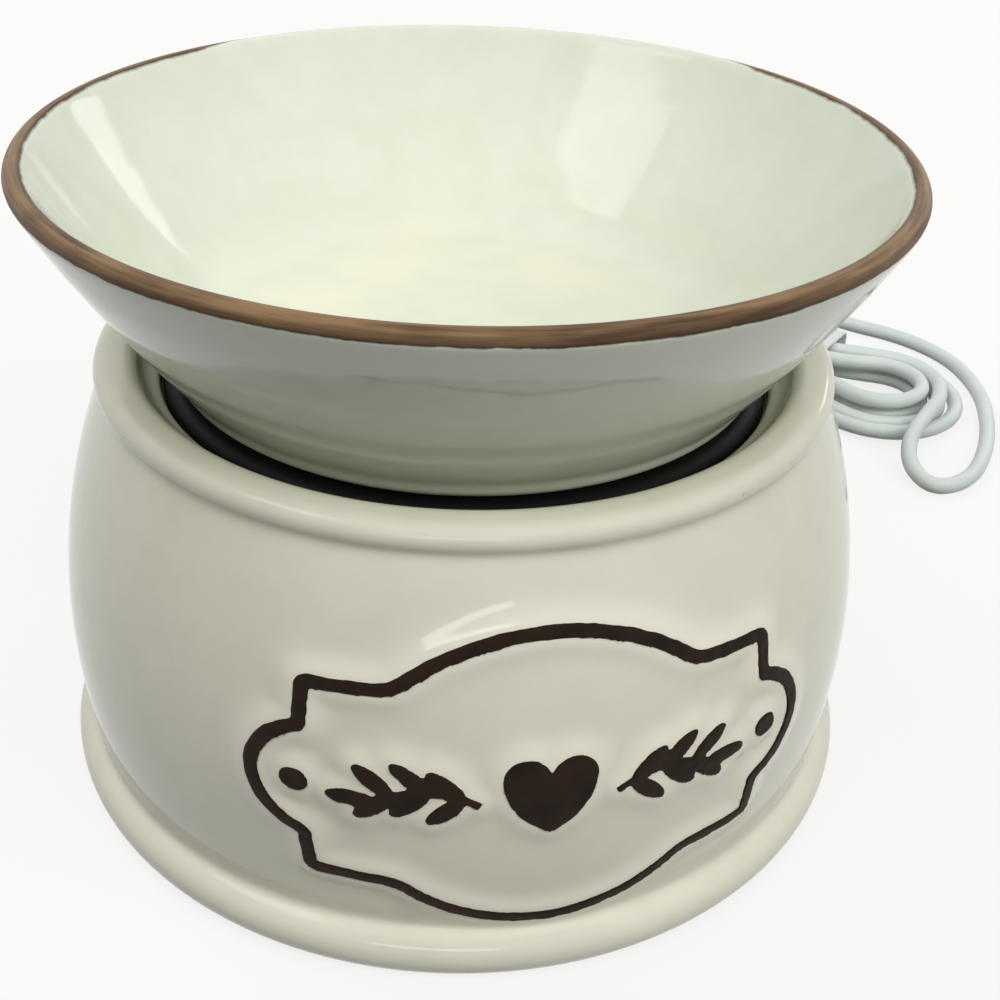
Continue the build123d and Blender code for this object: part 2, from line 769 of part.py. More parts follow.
clip_plane = Plane((-clip_width / 2, fuse_row, fuse_height), x_dir=(0, 1, 0), z_dir=(1, 0, 0))
clip_out = fuse_radius + bore_clearance + clip_sheet
with BuildPart() as fuse_clip:
    with BuildSketch(clip_plane):
        with BuildLine():
            top = cover_bottom - fuse_height
            Polyline(
                (-clip_out - clip_tab, top),
                (clip_out, top),
                (clip_out, -fuse_radius / 2),
                (clip_out - clip_sheet, -fuse_radius / 2),
                (clip_out - clip_sheet, top - clip_sheet),
                (clip_sheet - clip_out, top - clip_sheet),
                (clip_sheet - clip_out, -fuse_radius / 2),
                (-clip_out, -fuse_radius / 2),
                (-clip_out, top - clip_sheet),
                (-clip_out - clip_tab, top - clip_sheet),
                close=True,
            )
        make_face()
    extrude(amount=clip_width)
finish(fuse_clip, "fuse_clip")

# Heater leads: post to fuse, fuse to one cap, and the other post to the other cap
lead_x = cap_offset + core_side
post_x = post_spacing / 2
lead_runs = [
    wire(
        [
            (post_x, post_row, post_bottom),
            (post_x, post_row, post_bottom - 8),
            (post_x + 8, fuse_row, post_bottom - 8),
            (post_x + 8, fuse_row, fuse_height),
            (fuse_end, fuse_row, fuse_height),
        ],
        wire_bend,
        core_radius,
    ),
    wire(
        [
            (-fuse_end, fuse_row, fuse_height),
            (-fuse_end - 8, fuse_row, fuse_height),
            (-fuse_end - 8, fuse_row, cord_entry_height + 12),
            (-lead_x, cap_mouth + 7, cord_entry_height),
            (-lead_x, cap_end, cord_entry_height),
        ],
        wire_bend,
        core_radius,
    ),
    wire(
        [
            (-post_x, post_row, post_bottom),
            (-post_x, post_row, post_bottom - 20),
            (lead_x, cap_mouth + 7, cord_entry_height + 20),
            (lead_x, cap_mouth + 7, cord_entry_height),
            (lead_x, cap_end, cord_entry_height),
        ],
        wire_bend,
        core_radius,
    ),
]
with BuildPart() as heater_leads:
    add(lead_runs)
finish(heater_leads, "heater_leads")

# In-line switch: two shells, a rocker on a pin, contacts and screws
switch_plane = Plane((*switch_place, 0), x_dir=(0, 1, 0), z_dir=(0, 0, 1))
switch_inner = (switch_length - 2 * switch_wall, switch_width - 2 * switch_wall)
inner_corner = switch_corner - switch_wall
screw_spots = [switch_screw_place, (-switch_screw_place[0], -switch_screw_place[1])]
cord_through = Plane(
    (switch_place[0], switch_place[1] - switch_length, switch_split), x_dir=(1, 0, 0), z_dir=(0, 1, 0)
)
with BuildPart() as switch_base:
    with BuildSketch(switch_plane):
        RectangleRounded(switch_length, switch_width, switch_corner)
    extrude(amount=switch_split)
    chamfer(switch_base.edges().group_by(Axis.Z)[0], switch_edge_round / 2)
    with BuildSketch(switch_plane.offset(switch_wall)):
        RectangleRounded(*switch_inner, inner_corner)
    extrude(amount=switch_split, mode=Mode.SUBTRACT)
    with BuildSketch(switch_plane.offset(switch_wall)):
        with Locations(*screw_spots):
            Circle(switch_post_radius)
    extrude(amount=switch_split - switch_wall)
    with BuildSketch(switch_plane):
        with Locations(*screw_spots):
            Circle(switch_screw_radius + bore_clearance)
    extrude(amount=switch_split, mode=Mode.SUBTRACT)
    with BuildSketch(switch_plane):
        with Locations(*screw_spots):
            Circle(switch_screw_head + bore_clearance)
    extrude(amount=switch_wall, mode=Mode.SUBTRACT)
    with BuildSketch(cord_through):
        Circle(cord_radius + bore_clearance)
    extrude(amount=2 * switch_length, mode=Mode.SUBTRACT)
finish(switch_base, "switch_base")

with BuildPart() as switch_cover:
    with BuildSketch(switch_plane.offset(switch_split)):
        RectangleRounded(switch_length, switch_width, switch_corner)
    extrude(amount=switch_height - switch_split)
    fillet(switch_cover.edges().group_by(Axis.Z)[-1], switch_edge_round)
    with BuildSketch(switch_plane.offset(switch_split)):
        RectangleRounded(*switch_inner, inner_corner)
    extrude(amount=switch_height - switch_split - switch_wall, mode=Mode.SUBTRACT)
    with BuildSketch(switch_plane.offset(switch_split)):
        Rectangle(rocker_length + 4 * swing_clearance, rocker_width + 2 * swing_clearance)
    extrude(amount=switch_height, mode=Mode.SUBTRACT)
    with BuildSketch(switch_plane.offset(switch_split)):
        with Locations(*screw_spots):
            Circle(switch_post_radius)
            Circle(switch_screw_radius + bore_clearance, mode=Mode.SUBTRACT)
    extrude(amount=switch_height - switch_split - switch_wall)
    with BuildSketch(cord_through):
        Circle(cord_radius + bore_clearance)
    extrude(amount=2 * switch_length, mode=Mode.SUBTRACT)
finish(switch_cover, "switch_cover")

with BuildPart() as switch_screws:
    with BuildSketch(switch_plane):
        with Locations(*screw_spots):
            Circle(switch_screw_head)
    extrude(amount=switch_wall)
    with BuildSketch(switch_plane.offset(switch_wall)):
        with Locations(*screw_spots):
            Circle(switch_screw_radius)
    extrude(amount=switch_height - 3 * switch_wall)
finish(switch_screws, "switch_screws")

with BuildPart() as switch_contacts:
    with BuildSketch(switch_plane.offset(switch_wall)):
        with Locations((contact_reach, 0), (-contact_reach, 0)):
            Rectangle(contact_height * 2, contact_width)
    extrude(amount=contact_sheet)
    with BuildSketch(switch_plane.offset(switch_wall)):
        with Locations((contact_reach - contact_height, 0), (contact_height - contact_reach, 0)):
            Rectangle(2 * contact_sheet, contact_width)
    extrude(amount=contact_height)
finish(switch_contacts, "switch_contacts")

pin_plane = Plane(
    (switch_place[0] - switch_inner[1] / 2, switch_place[1], pin_height), x_dir=(0, 1, 0), z_dir=(1, 0, 0)
)
with BuildPart() as rocker_pin:
    with BuildSketch(pin_plane):
        Circle(pin_radius)
    extrude(amount=switch_inner[1])
finish(rocker_pin, "rocker_pin")

rocker_level = Plane(
    (switch_place[0] - rocker_width / 2, switch_place[1], pin_height), x_dir=(0, 1, 0), z_dir=(1, 0, 0)
)
rocker_plane = Plane(rocker_level.location * Rotation(0, 0, rocker_tilt))
with BuildPart() as switch_rocker:
    with BuildSketch(rocker_plane):
        with BuildLine():
            Polyline(
                (0, rocker_middle_height),
                (rocker_length / 2, rocker_end_height),
                (rocker_length / 2, 0),
                (rocker_length / 4, -rocker_skirt),
                (-rocker_length / 4, -rocker_skirt),
                (-rocker_length / 2, 0),
                (-rocker_length / 2, rocker_end_height),
                close=True,
            )
        make_face()
        Circle(pin_radius + swing_clearance / 2, mode=Mode.SUBTRACT)
    extrude(amount=rocker_width)
finish(switch_rocker, "switch_rocker")

# Plug: a moulded body with a round neck, and two flat blades
face_plane = Plane((*plug_face, plug_axis_height), x_dir=(0, 1, 0), z_dir=(1, 0, 0))
back_plane = face_plane.offset(plug_body_length)
neck_plane = face_plane.offset(plug_body_length + plug_neck_length)
with BuildPart() as plug_body:
    with BuildSketch(face_plane):
        RectangleRounded(plug_face_width, plug_face_height, plug_corner)
    with BuildSketch(face_plane.offset(plug_body_length / 2)):
        RectangleRounded(plug_face_width * 0.86, plug_face_height * 0.94, plug_corner)
    with BuildSketch(back_plane):
        RectangleRounded(plug_back_width, plug_back_height, plug_corner)
    loft()
    with BuildSketch(back_plane):
        Circle(plug_back_height * 0.42)
    with BuildSketch(neck_plane):
        Circle(plug_neck_radius)
    loft()
    with BuildSketch(face_plane):
        with Locations((blade_spacing / 2, 0), (-blade_spacing / 2, 0)):
            Rectangle(blade_thickness + 2 * bore_clearance, blade_height + 2 * bore_clearance)
    extrude(amount=blade_seat, mode=Mode.SUBTRACT)
finish(plug_body, "plug_body")

with BuildPart() as plug_blades:
    with BuildSketch(face_plane.offset(-blade_length)):
        with Locations((blade_spacing / 2, 0), (-blade_spacing / 2, 0)):
            RectangleRounded(blade_thickness, blade_height, blade_thickness / 3)
    extrude(amount=blade_length + blade_seat)
finish(plug_blades, "plug_blades")

# Hank: loops that spiral in on the table and out again on top, drawn in at the tied waist
along = Vector(1, 0).rotate(Axis.Z, hank_angle)
across = Vector(0, -1).rotate(Axis.Z, hank_angle)
hank_floor = Vector(*hank_middle, cord_radius + hank_lift)


def hank_spread(station):
    """Turns between a quarter-turn station and the innermost turn."""
    past_climb = max(hank_climb_from - station, station - hank_climb_to)
    return (past_climb + 1) / 4 if past_climb > 0 else 0


def hank_rise(station):
    """Height of a quarter-turn station above the lower layer."""
    climbed = (station - hank_climb_from) / (hank_climb_to - hank_climb_from)
    return hank_layer * min(max(climbed, 0), 1)


def hank_fold(station):
    """Middle distance and radius of the fold at an odd station."""
    reach = hank_fold_show if station % 4 == 1 else hank_fold_back
    return reach, hank_inner_fold + hank_step * hank_spread(station)


def hank_station(station):
    """Point and direction of the cord at a quarter turn: waist, shown fold, waist, back fold."""
    side = (-1, 1, 1, -1)[station % 4]
    place = hank_floor + Vector(0, 0, hank_rise(station))
    if station % 2:
        middle, radius = hank_fold(station)
        climbs = hank_climb_from < station < hank_climb_to
        slope = hank_layer / (math.pi * radius) if climbs else 0
        return place + along * (side * (middle + radius)), (across * side + Vector(0, 0, slope)).normalized()
    waist = hank_inner_waist + hank_step * hank_spread(station)
    return place + across * (side * waist), along * -side


def biarc(start, start_way, end, end_way, share):
    """Two tangent arcs between two stations; share is the first tangent length over the second."""
    gap = end - start
    reach = gap.dot(start_way * share + end_way)
    turn = 2 * share * (1 - start_way.dot(end_way))
    second = (math.sqrt(reach**2 + turn * gap.dot(gap)) - reach) / turn
    first = share * second
    before = start + start_way * first
    after = end - end_way * second
    joint = (before * second + after * first) * (1 / (first + second))
    TangentArc(start, joint, tangent=start_way)
    TangentArc(joint, end, tangent=after - before)


def fold_share(station):
    """Tangent length of the fold's arc over that of the waist's arc, for the fold at a station."""
    middle, radius = hank_fold(station)
    draw_in = math.atan((hank_inner_fold - hank_inner_waist) / middle)
    waist_arc = middle / math.sin(2 * draw_in) - radius
    return radius * math.tan(math.pi / 4 + draw_in) / (waist_arc * math.tan(draw_in))


def least_gap(points, spacing, diameter):
    """Least distance between the surfaces of a tube's turns, on points along its middle."""
    skip = int(3 * diameter / spacing)
    nearest = min(
        (points[i] - points[j]).length for i in range(len(points)) for j in range(i + skip, len(points))
    )
    return nearest - diameter


hank_start, hank_start_way = hank_station(hank_first)
hank_end, hank_end_way = hank_station(hank_last)
hank_lead_in = hank_start - hank_start_way * cord_diameter
hank_lead_out = hank_end + hank_end_way * cord_diameter
with BuildPart() as cord_hank:
    with BuildLine() as hank_line:
        Line(hank_lead_in, hank_start)
        for station in range(hank_first, hank_last):
            here, here_way = hank_station(station)
            there, there_way = hank_station(station + 1)
            share = fold_share(station) if station % 2 else 1 / fold_share(station + 1)
            biarc(here, here_way, there, there_way, share)
        Line(hank_end, hank_lead_out)
    with BuildSketch(Plane(origin=hank_lead_in, z_dir=hank_start_way)):
        Circle(cord_radius)
    sweep(path=hank_line.wire())
finish(cord_hank, "cord_hank")
hank_length = hank_line.wire().length
sample_step = 2.0
sample_count = int(hank_length / sample_step)
samples = [hank_line.wire().position_at(i / sample_count) for i in range(sample_count)]
hank_gap = least_gap(samples, sample_step, cord_diameter)
hank_fill = cord_hank.part.volume / (math.pi * cord_radius**2 * hank_length)
print("cord_hank length", round(hank_length, 1), "least gap", round(hank_gap, 2))
print("cord_hank volume over section times length", hank_fill)

# Flat tie round the waist of the hank
tie_half = hank_inner_waist + hank_step * hank_spread(hank_first + 1) + cord_radius + slip_clearance
tie_low = hank_lift - slip_clearance
tie_high = cord_diameter + hank_lift + hank_layer + slip_clearance
tie_plane = Plane(
    Vector(*hank_middle, (tie_low + tie_high) / 2) - along * (tie_width / 2), x_dir=across, z_dir=along
)
with BuildPart() as hank_tie:
    with BuildSketch(tie_plane):
        RectangleRounded(
            2 * (tie_half + tie_sheet), tie_high - tie_low + 2 * tie_sheet, cord_radius + tie_sheet
        )
        RectangleRounded(2 * tie_half, tie_high - tie_low, cord_radius, mode=Mode.SUBTRACT)
    extrude(amount=tie_width)
finish(hank_tie, "hank_tie")


def cord_tube(points, name):
    """A free stretch of cord: straight runs with the largest arcs that they allow."""
    route_points = [Vector(*point) for point in points]
    runs = [b - a for a, b in zip(route_points, route_points[1:])]
    radii = [
        0.45 * min(a.length, b.length) / math.tan(math.radians(a.get_angle(b)) / 2)
        for a, b in zip(runs, runs[1:])
    ]
    with BuildPart() as tube:
        with BuildLine() as route:
            FilletPolyline(*route_points, radius=radii)
        with BuildSketch(Plane(origin=route_points[0], z_dir=runs[0])):
            Circle(cord_radius)
        sweep(path=route.wire())
    length = route.wire().length
    print(name, "length", round(length, 1), "radii", [round(radius) for radius in radii])
    print(name, "volume over section times length", tube.part.volume / (math.pi * cord_radius**2 * length))
    finish(tube, name)


# Free stretches of the cord: boot to switch, switch to hank, and hank to plug
switch_near = switch_place[1] - switch_length / 2 + switch_wall
switch_far = switch_place[1] + switch_length / 2 - switch_wall
lead_run = switch_near - boot_tip
cord_tube(
    [
        (0, boot_tip, cord_entry_height),
        (0, boot_tip + lead_run * 0.16, cord_entry_height),
        (switch_place[0] * 0.18, boot_tip + lead_run * 0.40, cord_entry_height * 0.82),
        (switch_place[0] * 0.64, boot_tip + lead_run * 0.61, switch_split + cord_radius * 1.7),
        (switch_place[0], boot_tip + lead_run * 0.82, switch_split),
        (switch_place[0], switch_near, switch_split),
    ],
    "cord_lead",
)
cord_tube(
    [
        (switch_place[0], switch_far, switch_split),
        (switch_place[0], 186, switch_split),
        (-18, 199, 3.4),
        (-6, 208, 2.1),
        (10, 208, 2.1),
        (24, 198, 2.1),
        (33, 181, 2.1),
        (40, 163, 2.1),
        (50, 149, 2.1),
        (64, 142, 2.1),
        (78, 144, 2.6),
        tuple(hank_lead_in - hank_start_way * cord_diameter),
        tuple(hank_lead_in),
    ],
    "cord_mid",
)
cord_tube(
    [
        tuple(hank_lead_out),
        tuple(hank_lead_out + hank_end_way * cord_diameter * 2),
        (136, 75.5, 6.6),
        (132, 66, 3.4),
        (134.5, 56, 2.1),
        (146, 58.5, 2.1),
        (157, 71, 2.1),
        (166.5, 87.5, 2.1),
        (173, 105.5, 2.1),
        (174, 125, 2.1),
        (166, 142, 2.1),
        (152, 153.5, 2.2),
        (141, 164, 3.4),
        (131.5, 175.5, 5.8),
        (neck_plane.origin.X + 9, plug_face[1], plug_axis_height),
        (neck_plane.origin.X, plug_face[1], plug_axis_height),
    ],
    "cord_tail",
)
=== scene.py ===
import math

import bmesh
import bpy
from bpy.props import FloatProperty, FloatVectorProperty, PointerProperty, StringProperty
from mathutils import Matrix, Vector, noise
from mathutils.bvhtree import BVHTree


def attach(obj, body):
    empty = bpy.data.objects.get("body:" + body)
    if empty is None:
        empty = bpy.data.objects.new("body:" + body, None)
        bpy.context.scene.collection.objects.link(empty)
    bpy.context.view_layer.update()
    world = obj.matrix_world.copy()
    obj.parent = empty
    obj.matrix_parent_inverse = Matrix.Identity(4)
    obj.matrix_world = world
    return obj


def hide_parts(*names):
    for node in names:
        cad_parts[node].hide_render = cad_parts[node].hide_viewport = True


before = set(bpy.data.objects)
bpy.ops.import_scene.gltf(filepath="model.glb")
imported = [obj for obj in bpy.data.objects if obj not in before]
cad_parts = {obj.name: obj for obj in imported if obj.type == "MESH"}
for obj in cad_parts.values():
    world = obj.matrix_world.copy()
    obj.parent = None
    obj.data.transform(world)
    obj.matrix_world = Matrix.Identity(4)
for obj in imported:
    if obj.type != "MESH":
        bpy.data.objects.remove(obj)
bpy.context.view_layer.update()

bl_info = {
    "name": "Wax melt warmer",
    "version": (1, 0, 0),
    "blender": (4, 5, 0),
    "location": "View3D > Sidebar > Warmer",
    "description": "Dresses the CAD frame of a ceramic wax melt warmer",
    "category": "Add Mesh",
}

mm = 0.001
merge_distance = 1e-6  # metres, for the doubles at seams and poles


def linear(code):
    """A hex sRGB colour as linear RGBA."""
    parts = [int(code[i : i + 2], 16) / 255 for i in (0, 2, 4)]
    return (*(c / 12.92 if c <= 0.04045 else ((c + 0.055) / 1.055) ** 2.4 for c in parts), 1.0)


def add_node(tree, kind, inputs=None, **settings):
    """Add a node, set its properties, and fill or link its inputs."""
    new = tree.nodes.new(kind)
    for name, value in settings.items():
        setattr(new, name, value)
    for key, value in (inputs or {}).items():
        if isinstance(value, bpy.types.NodeSocket):
            tree.links.new(value, new.inputs[key])
        else:
            new.inputs[key].default_value = value
    return new


def new_material(name, **constants):
    """A material with one Principled shader, whose plain values are set on its own sockets."""
    material = bpy.data.materials.new(name)
    material.use_nodes = True
    tree = material.node_tree
    shader = tree.nodes["Principled BSDF"]
    for key, value in constants.items():
        shader.inputs[key.replace("_", " ")].default_value = value
    place = add_node(tree, "ShaderNodeTexCoord").outputs["Object"]
    return material, tree, shader, place


def per_mm(size):
    """Texture scale that gives a feature of a size in millimetres."""
    return 1000.0 / size


def glaze_nodes(tree, place, pale, deep, speck):
    """Cream glaze: slow drifts of thickness, a faint cloud and a few iron specks."""
    drift_weight = 0.75  # of the slow drift against the cloud
    bare_cells = 0.62  # share of the cells that hold no speck
    drift = add_node(
        tree, "ShaderNodeTexNoise", {"Vector": place, "Scale": per_mm(55), "Detail": 2.0, "Roughness": 0.5}
    )
    cloud = add_node(
        tree, "ShaderNodeTexNoise", {"Vector": place, "Scale": per_mm(9), "Detail": 3.0, "Roughness": 0.6}
    )
    blend = add_node(
        tree,
        "ShaderNodeMath",
        {0: drift.outputs["Fac"], 1: drift_weight, 2: cloud.outputs["Fac"]},
        operation="MULTIPLY_ADD",
    )
    spread = add_node(
        tree, "ShaderNodeMapRange", {"Value": blend.outputs[0], "From Min": 0.6, "From Max": 1.15}
    )
    cream = add_node(
        tree,
        "ShaderNodeMix",
        {"Factor": spread.outputs[0], "A": linear(deep), "B": linear(pale)},
        data_type="RGBA",
    )
    cells = add_node(
        tree, "ShaderNodeTexVoronoi", {"Vector": place, "Scale": per_mm(17), "Randomness": 1.0}
    )
    draw = add_node(tree, "ShaderNodeSeparateColor", {"Color": cells.outputs["Color"]})
    near = add_node(
        tree,
        "ShaderNodeMapRange",
        {
            "Value": cells.outputs["Distance"],
            "From Min": 0.016,
            "From Max": 0.03,
            "To Min": 0.55,
            "To Max": 0.0,
        },
    )
    chosen = add_node(
        tree, "ShaderNodeMath", {0: draw.outputs[0], 1: bare_cells}, operation="GREATER_THAN"
    )
    dot = add_node(
        tree, "ShaderNodeMath", {0: near.outputs[0], 1: chosen.outputs[0]}, operation="MULTIPLY"
    )
    return add_node(
        tree,
        "ShaderNodeMix",
        {"Factor": dot.outputs[0], "A": cream.outputs["Result"], "B": linear(speck)},
        data_type="RGBA",
    )


def glaze_bump(tree, place, shader):
    """Orange-peel ripple of a dipped glaze: 14 mm across and finer, and very shallow."""
    ripple = add_node(
        tree, "ShaderNodeTexNoise", {"Vector": place, "Scale": per_mm(14), "Detail": 3.0, "Roughness": 0.6}
    )
    bump = add_node(
        tree,
        "ShaderNodeBump",
        {"Height": ripple.outputs["Fac"], "Strength": 0.2, "Distance": 0.4 * mm},
    )
    tree.links.new(bump.outputs[0], shader.inputs["Normal"])


def stoneware_glaze(looks):
    """Dipped cream glaze on stoneware: glossy, greyer where it pools, and paler round the relief, partly
    where it thins and partly as a painted highlight of the lit swell.
    """
    material, tree, shader, place = new_material("dipped_cream_glaze", Roughness=0.08, IOR=1.5)
    glaze = glaze_nodes(tree, place, looks.glaze_pale, looks.glaze_deep, looks.speck)
    # Paler glaze round the relief: thinned glaze and a painted highlight.
    thin_and_sheen = add_node(tree, "ShaderNodeAttribute", attribute_name="glaze_thin_and_sheen")
    paler = add_node(
        tree,
        "ShaderNodeMix",
        {"Factor": thin_and_sheen.outputs["Fac"], "A": glaze.outputs["Result"], "B": linear(looks.glaze_thin_and_sheen)},
        data_type="RGBA",
    )
    tree.links.new(paler.outputs["Result"], shader.inputs["Base Color"])
    glaze_bump(tree, place, shader)
    return material


def dish_glaze(looks):
    """The same glaze on the dish, with a brown rim laid on by brush and old wax yellowing its floor."""
    material, tree, shader, place = new_material("dish_glaze_with_brushed_rim", IOR=1.5)
    glaze = glaze_nodes(tree, place, looks.dish_pale, looks.dish_deep, looks.speck)
    axes = add_node(tree, "ShaderNodeSeparateXYZ", {"Vector": place}).outputs
    flat = add_node(tree, "ShaderNodeCombineXYZ", {"X": axes["X"], "Y": axes["Y"]}).outputs[0]
    radius = add_node(tree, "ShaderNodeVectorMath", {0: flat}, operation="LENGTH").outputs["Value"]
    turn = add_node(tree, "ShaderNodeMath", {0: axes["Y"], 1: axes["X"]}, operation="ARCTAN2").outputs[0]

    # The brown's borders wander with the brush, and are soft.
    wander_width, low_blur, inner_blur = 0.9 * mm, 0.12 * mm, 0.2 * mm
    ragged = add_node(
        tree, "ShaderNodeTexNoise", {"Vector": place, "Scale": per_mm(6), "Detail": 4.0, "Roughness": 0.65}
    )
    wander = add_node(
        tree,
        "ShaderNodeMath",
        {0: ragged.outputs["Fac"], 1: wander_width, 2: -wander_width / 2},
        operation="MULTIPLY_ADD",
    ).outputs[0]
    height = add_node(tree, "ShaderNodeMath", {0: axes["Z"], 1: wander}, operation="ADD").outputs[0]
    outside = add_node(
        tree,
        "ShaderNodeMapRange",
        {"Value": height, "From Min": looks.rim_low - low_blur, "From Max": looks.rim_low + low_blur},
    ).outputs[0]
    # On the far side the brush kept to the outside, so no brown shows along the crest there.
    bare_start, bare_full, bare_width = 48 * mm, 59 * mm, 2.0 * mm
    far = add_node(
        tree, "ShaderNodeVectorMath", {0: place, 1: looks.rim_far}, operation="DOT_PRODUCT"
    ).outputs["Value"]
    bare = add_node(
        tree,
        "ShaderNodeMapRange",
        {"Value": far, "From Min": bare_start, "From Max": bare_full, "To Max": bare_width},
    ).outputs[0]
    reach = add_node(tree, "ShaderNodeMath", {0: radius, 1: wander}, operation="ADD").outputs[0]
    reach = add_node(tree, "ShaderNodeMath", {0: reach, 1: bare}, operation="SUBTRACT").outputs[0]
    inside = add_node(
        tree,
        "ShaderNodeMapRange",
        {
            "Value": reach,
            "From Min": looks.rim_inner - inner_blur,
            "From Max": looks.rim_inner + inner_blur,
        },
    ).outputs[0]
    rim = add_node(tree, "ShaderNodeMath", {0: outside, 1: inside}, operation="MULTIPLY").outputs[0]

    # Brush streaks run round the rim: short across it and about 17 mm long round it.
    metres_per_radian, streak_weight = 0.004, 1.6
    around = add_node(
        tree, "ShaderNodeMath", {0: turn, 1: metres_per_radian}, operation="MULTIPLY"
    ).outputs[0]
    brushed = add_node(
        tree, "ShaderNodeCombineXYZ", {"X": radius, "Y": around, "Z": axes["Z"]}
    ).outputs[0]
    streak = add_node(
        tree,
        "ShaderNodeTexNoise",
        {"Vector": brushed, "Scale": per_mm(0.9), "Detail": 3.0, "Roughness": 0.6},
    )
    blotch = add_node(
        tree, "ShaderNodeTexNoise", {"Vector": place, "Scale": per_mm(16), "Detail": 2.0, "Roughness": 0.5}
    )
    tone = add_node(
        tree,
        "ShaderNodeMath",
        {0: streak.outputs["Fac"], 1: streak_weight, 2: blotch.outputs["Fac"]},
        operation="MULTIPLY_ADD",
    ).outputs[0]
    streaked = add_node(
        tree, "ShaderNodeMapRange", {"Value": tone, "From Min": 0.95, "From Max": 1.6, "To Min": 0.2}
    ).outputs[0]
    # Painted light: the rim's rounded crown is painted lighter as a highlight, and the brown darkens
    # towards its lower and inner borders as painted shade.
    low_shade_width, inner_shade_width = 1.5 * mm, 0.9 * mm
    up = add_node(
        tree,
        "ShaderNodeMapRange",
        {
            "Value": axes["Z"],
            "From Min": looks.rim_low,
            "From Max": looks.rim_low + low_shade_width,
            "To Min": 0.1,
        },
    ).outputs[0]
    across = add_node(
        tree,
        "ShaderNodeMapRange",
        {
            "Value": radius,
            "From Min": looks.rim_inner,
            "From Max": looks.rim_inner + inner_shade_width,
            "To Min": 0.15,
        },
    ).outputs[0]
    # Painted highlight on the rim's crown and painted shade at both of its borders.
    crown = add_node(tree, "ShaderNodeMath", {0: up, 1: across}, operation="MULTIPLY").outputs[0]
    spread = add_node(tree, "ShaderNodeMath", {0: streaked, 1: crown}, operation="MULTIPLY").outputs[0]
    brown = add_node(
        tree,
        "ShaderNodeMix",
        {"Factor": spread, "A": linear(looks.rim_dark), "B": linear(looks.rim_light)},
        data_type="RGBA",
    )

    # Old wax: a faint yellow film on the floor and in the cove, and none under the dish.
    film_fade, film_radius, film_depth = 9 * mm, 54 * mm, 14 * mm
    film = add_node(
        tree,
        "ShaderNodeTexNoise",
        {"Vector": place, "Scale": per_mm(26), "Detail": 3.0, "Roughness": 0.55},
    )
    low = add_node(
        tree,
        "ShaderNodeMapRange",
        {
            "Value": axes["Z"],
            "From Min": looks.wax_line,
            "From Max": looks.wax_line - film_fade,
            "To Max": 0.85,
        },
    ).outputs[0]
    bowl = add_node(
        tree, "ShaderNodeMath", {0: radius, 1: film_radius}, operation="LESS_THAN"
    ).outputs[0]
    above = add_node(
        tree, "ShaderNodeMath", {0: axes["Z"], 1: looks.wax_line - film_depth}, operation="GREATER_THAN"
    ).outputs[0]
    waxed = add_node(
        tree, "ShaderNodeMapRange", {"Value": film.outputs["Fac"], "From Min": 0.35, "From Max": 0.75}
    ).outputs[0]
    for limit in (low, bowl, above):
        waxed = add_node(tree, "ShaderNodeMath", {0: waxed, 1: limit}, operation="MULTIPLY").outputs[0]
    stained = add_node(
        tree,
        "ShaderNodeMix",
        {"Factor": waxed, "A": glaze.outputs["Result"], "B": linear(looks.wax_film)},
        data_type="RGBA",
    )
    colour = add_node(
        tree,
        "ShaderNodeMix",
        {"Factor": rim, "A": stained.outputs["Result"], "B": brown.outputs["Result"]},
        data_type="RGBA",
    )
    tree.links.new(colour.outputs["Result"], shader.inputs["Base Color"])
    # The brushed brown is duller than the glaze beside it.
    dull = add_node(tree, "ShaderNodeMapRange", {"Value": rim, "To Min": 0.07, "To Max": 0.45})
    tree.links.new(dull.outputs[0], shader.inputs["Roughness"])
    sheen = add_node(tree, "ShaderNodeMapRange", {"Value": rim, "To Min": 0.5, "To Max": 0.2})
    tree.links.new(sheen.outputs[0], shader.inputs["Specular IOR Level"])
    glaze_bump(tree, place, shader)
    return material


def oxide_stain(looks):
    """Brown oxide on wiped relief: matt, slightly sandy, with tops worn a little lighter."""
    material, tree, shader, place = new_material("brown_oxide_stain", IOR=1.45, Specular_IOR_Level=0.16)
    sand_weight = 0.5  # of the sandy grain against the wear
    sand = add_node(
        tree,
        "ShaderNodeTexNoise",
        {"Vector": place, "Scale": per_mm(1.2), "Detail": 5.0, "Roughness": 0.7},
    )
    worn = add_node(
        tree, "ShaderNodeTexNoise", {"Vector": place, "Scale": per_mm(7), "Detail": 2.0, "Roughness": 0.5}
    )
    tone = add_node(
        tree,
        "ShaderNodeMath",
        {0: sand.outputs["Fac"], 1: sand_weight, 2: worn.outputs["Fac"]},
        operation="MULTIPLY_ADD",
    )
    spread = add_node(
        tree, "ShaderNodeMapRange", {"Value": tone.outputs[0], "From Min": 0.5, "From Max": 1.05}
    )
    brown = add_node(
        tree,
        "ShaderNodeMix",
        {"Factor": spread.outputs[0], "A": linear(looks.stain_dark), "B": linear(looks.stain_light)},
        data_type="RGBA",
    )
    tree.links.new(brown.outputs["Result"], shader.inputs["Base Color"])
    rough = add_node(
        tree, "ShaderNodeMapRange", {"Value": sand.outputs["Fac"], "To Min": 0.42, "To Max": 0.75}
    )
    tree.links.new(rough.outputs[0], shader.inputs["Roughness"])
    bump = add_node(
        tree,
        "ShaderNodeBump",
        {"Height": sand.outputs["Fac"], "Strength": 0.35, "Distance": 0.15 * mm},
    )
    tree.links.new(bump.outputs[0], shader.inputs["Normal"])
    return material


